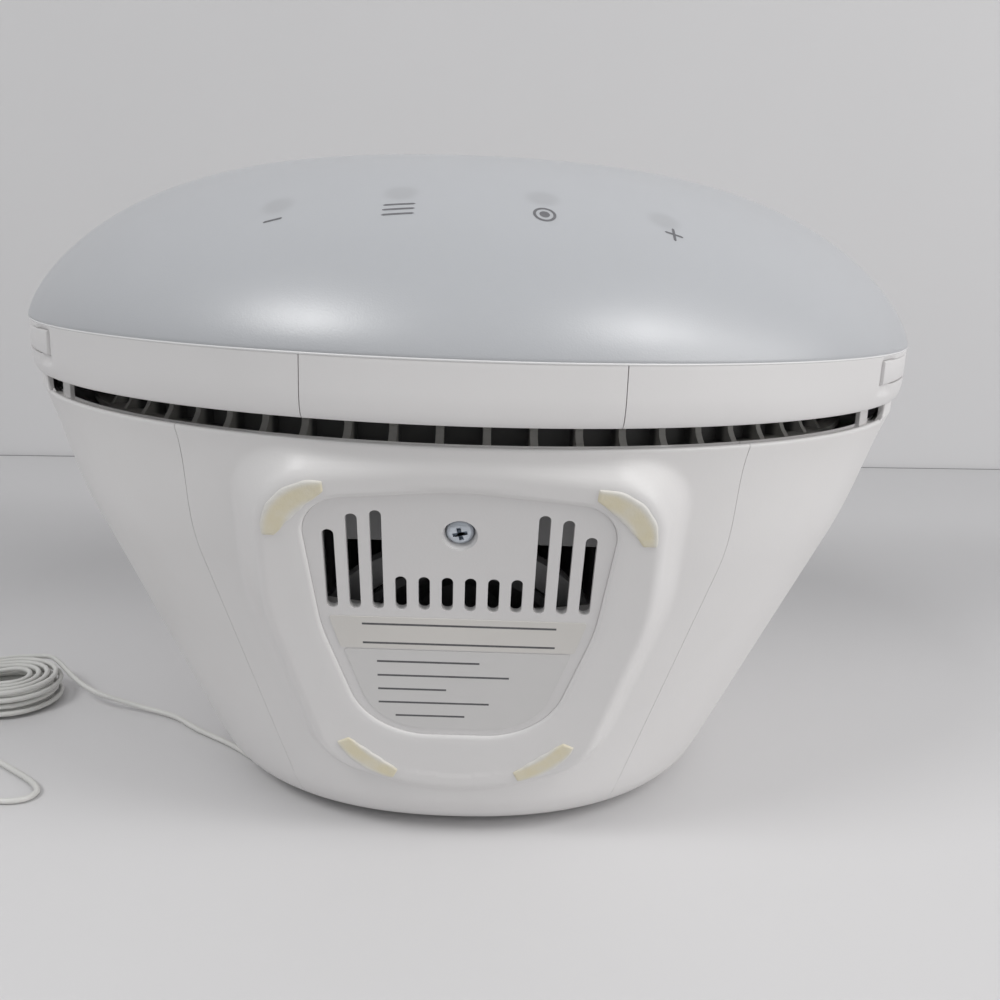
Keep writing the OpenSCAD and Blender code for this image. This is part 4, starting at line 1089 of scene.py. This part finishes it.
def screw_piece():
    """Domed cross-head screw in its cup."""
    shank_r, tip, point_w, point_h = 1.5, -10.7, 0.4, 0.3
    head_r, head_low = 2.4, -2.65
    head = [(0, -1.05), (0.9, -1.08), (1.6, -1.18), (2.1, -1.4), (2.34, -1.75), (head_r, -2.1)]
    profile = head + [(head_r, head_low), (shank_r, head_low), (shank_r, tip + point_h),
                      (shank_r - point_w, tip), (0, tip)]
    ob = add_object("plate_screw", *face_lathe(profile[::-1], 64))
    arm, half_w, deep, narrow, cross_turn = 1.5, 0.44, -2.1, 0.7, 0.25
    arms = []
    for turn in (cross_turn, cross_turn + pi / 2):
        c, s = cos(turn), sin(turn)
        verts, faces = block(-arm, arm, -half_w, half_w, deep, 0)
        scaled = [(x * narrow, y * narrow, z) if z == deep else (x, y, z) for x, y, z in verts]
        turned = [(x * c - y * s, x * s + y * c + SCREW_V, z) for x, y, z in scaled]
        arms.append(face_to_world((turned, faces)))
    cut(ob, *arms, angle=40)
    soften(ob, 0.08, 2, 40)
    dress(ob, ZINC, "base_screw", slot="screw_steel")


panel_piece()
frame_piece()
plate_pieces()
screw_piece()

# Foot pads: arcs about (x, v) from a first to a last angle, wider in the middle by their bulge

PADS = (dict(x=21.8, v=-11.2, in_r=7.7, out_r=11.6, first=0, last=88, bulge=1.0),
        dict(x=4, v=-50, in_r=17.4, out_r=21.8, first=-67, last=-27, bulge=0.0))
PAD_TOP, PAD_BACK = 0.3, -0.4
PAD_ROUND = 0.4
PAD_TAPER = 1.3
PAD_WAVER, WAVER_PACE = 0.07, 1.7
PAD_SAG, SAG_PACE = 0.03, 3.1
# Half width of the part along the middle that is fully yellow
YELLOW_HALF = 0.6


def pad_material():
    """Thin aged foam: yellowed along the middle of each pad and bleached towards its edges."""
    mat = make_material("pad_foam", (0.74, 0.725, 0.69), 0.8, tint=0.04, tint_scale=160, grain=0.25,
                        grain_scale=2600, specular=0.2)
    nt, color, coords = paint_inputs(mat)
    patchy = add_range(nt, add_noise(nt, coords, 170, 4.0), 0.3, 0.6, 0.55, 1.0)
    for pad in PADS:
        inside_r = pad["in_r"] - pad["bulge"]
        middle_r, half_w = (pad["out_r"] + inside_r) / 2, (pad["out_r"] - inside_r) / 2
        for side in (-1, 1):
            centre, _ = face_to_world(([(side * pad["x"], pad["v"], 0)], []))
            away = add_vector_math(nt, "DISTANCE", coords.outputs["Object"], Vector(centre[0]) * MM)
            off = add_math(nt, "ABSOLUTE", add_math(nt, "SUBTRACT", away.outputs["Value"], middle_r * MM))
            band = add_range(nt, off, YELLOW_HALF * MM, half_w * MM, 1.0, 0.0, smooth=True)
            paint_over(nt, color, add_math(nt, "MULTIPLY", band, patchy), (0.72, 0.66, 0.49))
    return mat


PAD = pad_material()


def pad_part(side, x, v, in_r, out_r, first, last, bulge, n=40):
    """A cut piece of foam with soft, slightly uneven edges, narrower towards its ends."""
    steps = [0.0, 0.12, 0.3, 0.6, 1.0, 1.6]
    across = [0.0, 0.03, 0.08, 0.16, 0.28, 0.5, 0.72, 0.84, 0.92, 0.97, 1.0]
    length = radians(last - first) * (in_r + out_r) / 2
    along = sorted(set(steps + [length - s for s in steps] + [length * i / n for i in range(4, n - 3)]))
    nx, ny = len(across), len(along)
    verts = []
    for upper in (False, True):
        for s in along:
            a = radians(first + (last - first) * s / length)
            full = max(0.0, sin(pi * s / length)) ** 0.7
            waver = PAD_WAVER * sin(WAVER_PACE * s + side)
            low = in_r + PAD_TAPER - (PAD_TAPER + bulge) * full - waver
            high = out_r - PAD_TAPER / 2 * (1 - full) + waver
            for t in across:
                edge = min(t * (high - low), (1 - t) * (high - low), s, length - s)
                fall = PAD_ROUND - sqrt(max(0.0, PAD_ROUND ** 2 - max(0.0, PAD_ROUND - edge) ** 2))
                r = low + t * (high - low)
                sag = PAD_SAG * sin(SAG_PACE * s + 2 * r) * min(1, edge)
                h = PAD_TOP - fall - sag if upper else PAD_BACK
                verts.append((side * (x + r * cos(a)), v + r * sin(a), h))
    faces = grid_faces(0, ny, nx) + grid_faces(nx * ny, ny, nx)
    border = list(range(nx)) + [j * nx + nx - 1 for j in range(1, ny)]
    border += [(ny - 1) * nx + i for i in range(nx - 2, -1, -1)] + [j * nx for j in range(ny - 2, 0, -1)]
    for i, j in zip(border, border[1:] + border[:1]):
        faces.append((i, j, j + nx * ny, i + nx * ny))
    return verts, faces


def pads_piece():
    parts = [pad_part(side, **pad) for pad in PADS for side in (-1, 1)]
    add_piece("pads", face_to_world(merge(*parts)), PAD, "foot_pads", angle=60, slot="pad_rubber")


pads_piece()

# Stickers on the plate, with plain ruled lines

PAPER, INK_T = 0.14, 0.012
STRIP_RULES = (-30.2, -34.6)
STRIP_LEFT, STRIP_RIGHT = -17.0, 17.4
# Height, left end and right end of each rule
LABEL_RULES = ((-39.0, -14.6, 4.0), (-42.4, -14.6, 9.5), (-45.8, -14.6, -2.0), (-49.2, -14.6, 6.0),
               (-52.6, -11.5, 1.5))


def rule(x0, x1, v, w=0.45):
    h = PAPER - PLATE_SINK
    return block(x0, x1, v - w / 2, v + w / 2, h, h + INK_T)


def sticker(name, outline, material, node, slot):
    ob = add_object(name, *face_to_world(prism(outline, -PLATE_SINK, PAPER - PLATE_SINK)))
    soften(ob, 0.04, 1)
    dress(ob, material, node, slot=slot)


def stickers():
    strip = rounded(mirrored([(22.8, -28.6, 0.5), (21.0, -35.9, 0.5)]), 4)
    label = rounded(mirrored([(20.5, -36.2, 0.5), (14.9, -56.0, 12)]), 10)
    sticker("strip", strip, STRIP, "serial_strip", "strip_paper")
    sticker("label", label, LABEL, "rating_label", "label_paper")
    lines = [rule(STRIP_LEFT, STRIP_RIGHT, v) for v in STRIP_RULES]
    lines += [rule(x0, x1, v) for v, x0, x1 in LABEL_RULES]
    add_piece("sticker_rules", face_to_world(merge(*lines)), INK, slot="dark_plastic")


stickers()

# Pieces that keep their solids

KEEP = (
    (GREY, ("display_carrier", "touch_posts", "mid_frame", "speaker_bracket")),
    (BOARD, ("touch_board", "key_board_left", "key_board_right", "main_board")),
    (DARK, ("display_module", "key_switches", "board_components", "dc_socket")),
    (ZINC, ("frame_screws", "board_screws")),
    (METAL, ("speaker_frame", "speaker_magnet")),
    (RIB, ("vent_rib_ring",)), (SHEET, ("reflector",)), (ALU, ("led_board",)), (LENS, ("leds",)),
    (RIBBON, ("ribbon_cable",)), (WHITE, ("connector_bay",)), (CONE, ("speaker_cone",)),
    (WIRE, ("antenna_grommet",)))
for material, names in KEEP:
    for name in names:
        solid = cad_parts[name].data
        solid.materials.clear()
        solid.materials.append(material)
        for polygon in solid.polygons:
            polygon.material_index = 0

# Floor, backdrop and light

BACK_Y = 329.2
BACK_SLOPE = 0.1022
STAGE_HALF = 1500
JOINT_W = 2.0
BOARD_BRIGHT = (0.67, 0.662, 0.665)
# Painted light and shade on the board: where along Y each begins and is reached, and its colour. Darker
# behind the lamp as painted shade, paler again near the backdrop as its painted reflection, and dark from the
# camera onwards as painted shade
BOARD_PAINTED_LIGHT = ((-10, 150, (0.48, 0.475, 0.48)), (140, 250, (0.55, 0.545, 0.55)),
                (-250, -300, (0.22, 0.21, 0.20)))


def stage_material(name, color, rough):
    return make_material(name, color, rough, tint=0.015, tint_scale=3, grain=0.02, grain_scale=600,
                         specular=0.2)


def floor_material():
    """Board: bright in front, duller behind the lamp and dark from the camera onwards as painted shade, paler
    near the backdrop as its painted reflection.
    """
    mat = stage_material("floor_painted_light_and_shade", BOARD_BRIGHT, 0.45)
    nt, color, coords = paint_inputs(mat)
    split = nt.nodes.new("ShaderNodeSeparateXYZ")
    nt.links.new(coords.outputs["Object"], split.inputs[0])
    # Paints the bands of light and shade along the board
    for start, end, shade in BOARD_PAINTED_LIGHT:
        amount = add_range(nt, split.outputs["Y"], start * MM, end * MM, 0.0, 1.0, smooth=True)
        paint_over(nt, color, amount, shade)
    return mat


def back_edge(x):
    return BACK_Y + BACK_SLOPE * x


def stage_sheet(name, corners, material):
    ob = add_object(name, corners, [(0, 1, 2, 3)])
    ob.data.materials.append(material)
    return ob


def stage_pieces():
    half, low = STAGE_HALF, -0.05
    left, right = back_edge(-half), back_edge(half)
    floor = [(-half, -half, low), (half, -half, low), (half, right, low), (-half, left, low)]
    backdrop = [(-half, left, low), (half, right, low), (half, right, half), (-half, left, half)]
    joint = [(-half, left - JOINT_W, 0), (half, right - JOINT_W, 0), (half, right, 0), (-half, left, 0)]
    backdrop_paint = stage_material("backdrop_paint", (0.61, 0.605, 0.61), 0.6)
    joint_paint = stage_material("joint_shadow", (0.22, 0.22, 0.225), 0.7)
    stage_sheet("floor", floor, floor_material())
    stage_sheet("backdrop", backdrop, backdrop_paint)
    stage_sheet("floor_joint", joint, joint_paint)


def add_area(name, at, target, size, power, color=(1, 1, 1)):
    data = bpy.data.lights.new(name, "AREA")
    data.shape = "DISK"
    data.size = size
    data.energy = power
    data.color = color
    ob = new_object(name, data)
    ob.location = at
    ob.rotation_euler = (Vector(target) - Vector(at)).to_track_quat("-Z", "Y").to_euler()


def lighting():
    world = bpy.data.worlds.new("studio")
    scene.world = world
    world.use_nodes = True
    sky = world.node_tree.nodes["Background"]
    set_inputs(sky, {"Color": (0.96, 0.98, 1.0, 1), "Strength": 0.45})
    middle = (0, 0, 0.06)
    add_area("key_light", (1.50, -0.75, 0.70), middle, 1.5, 12.0, (1.0, 0.985, 0.975))
    add_area("ceiling_right", (0.83, -0.64, 1.21), middle, 0.5, 5.0)
    add_area("ceiling_left", (-0.80, -0.69, 1.20), middle, 0.5, 7.0)


stage_pieces()
lighting()
scene.view_settings.view_transform = "Standard"
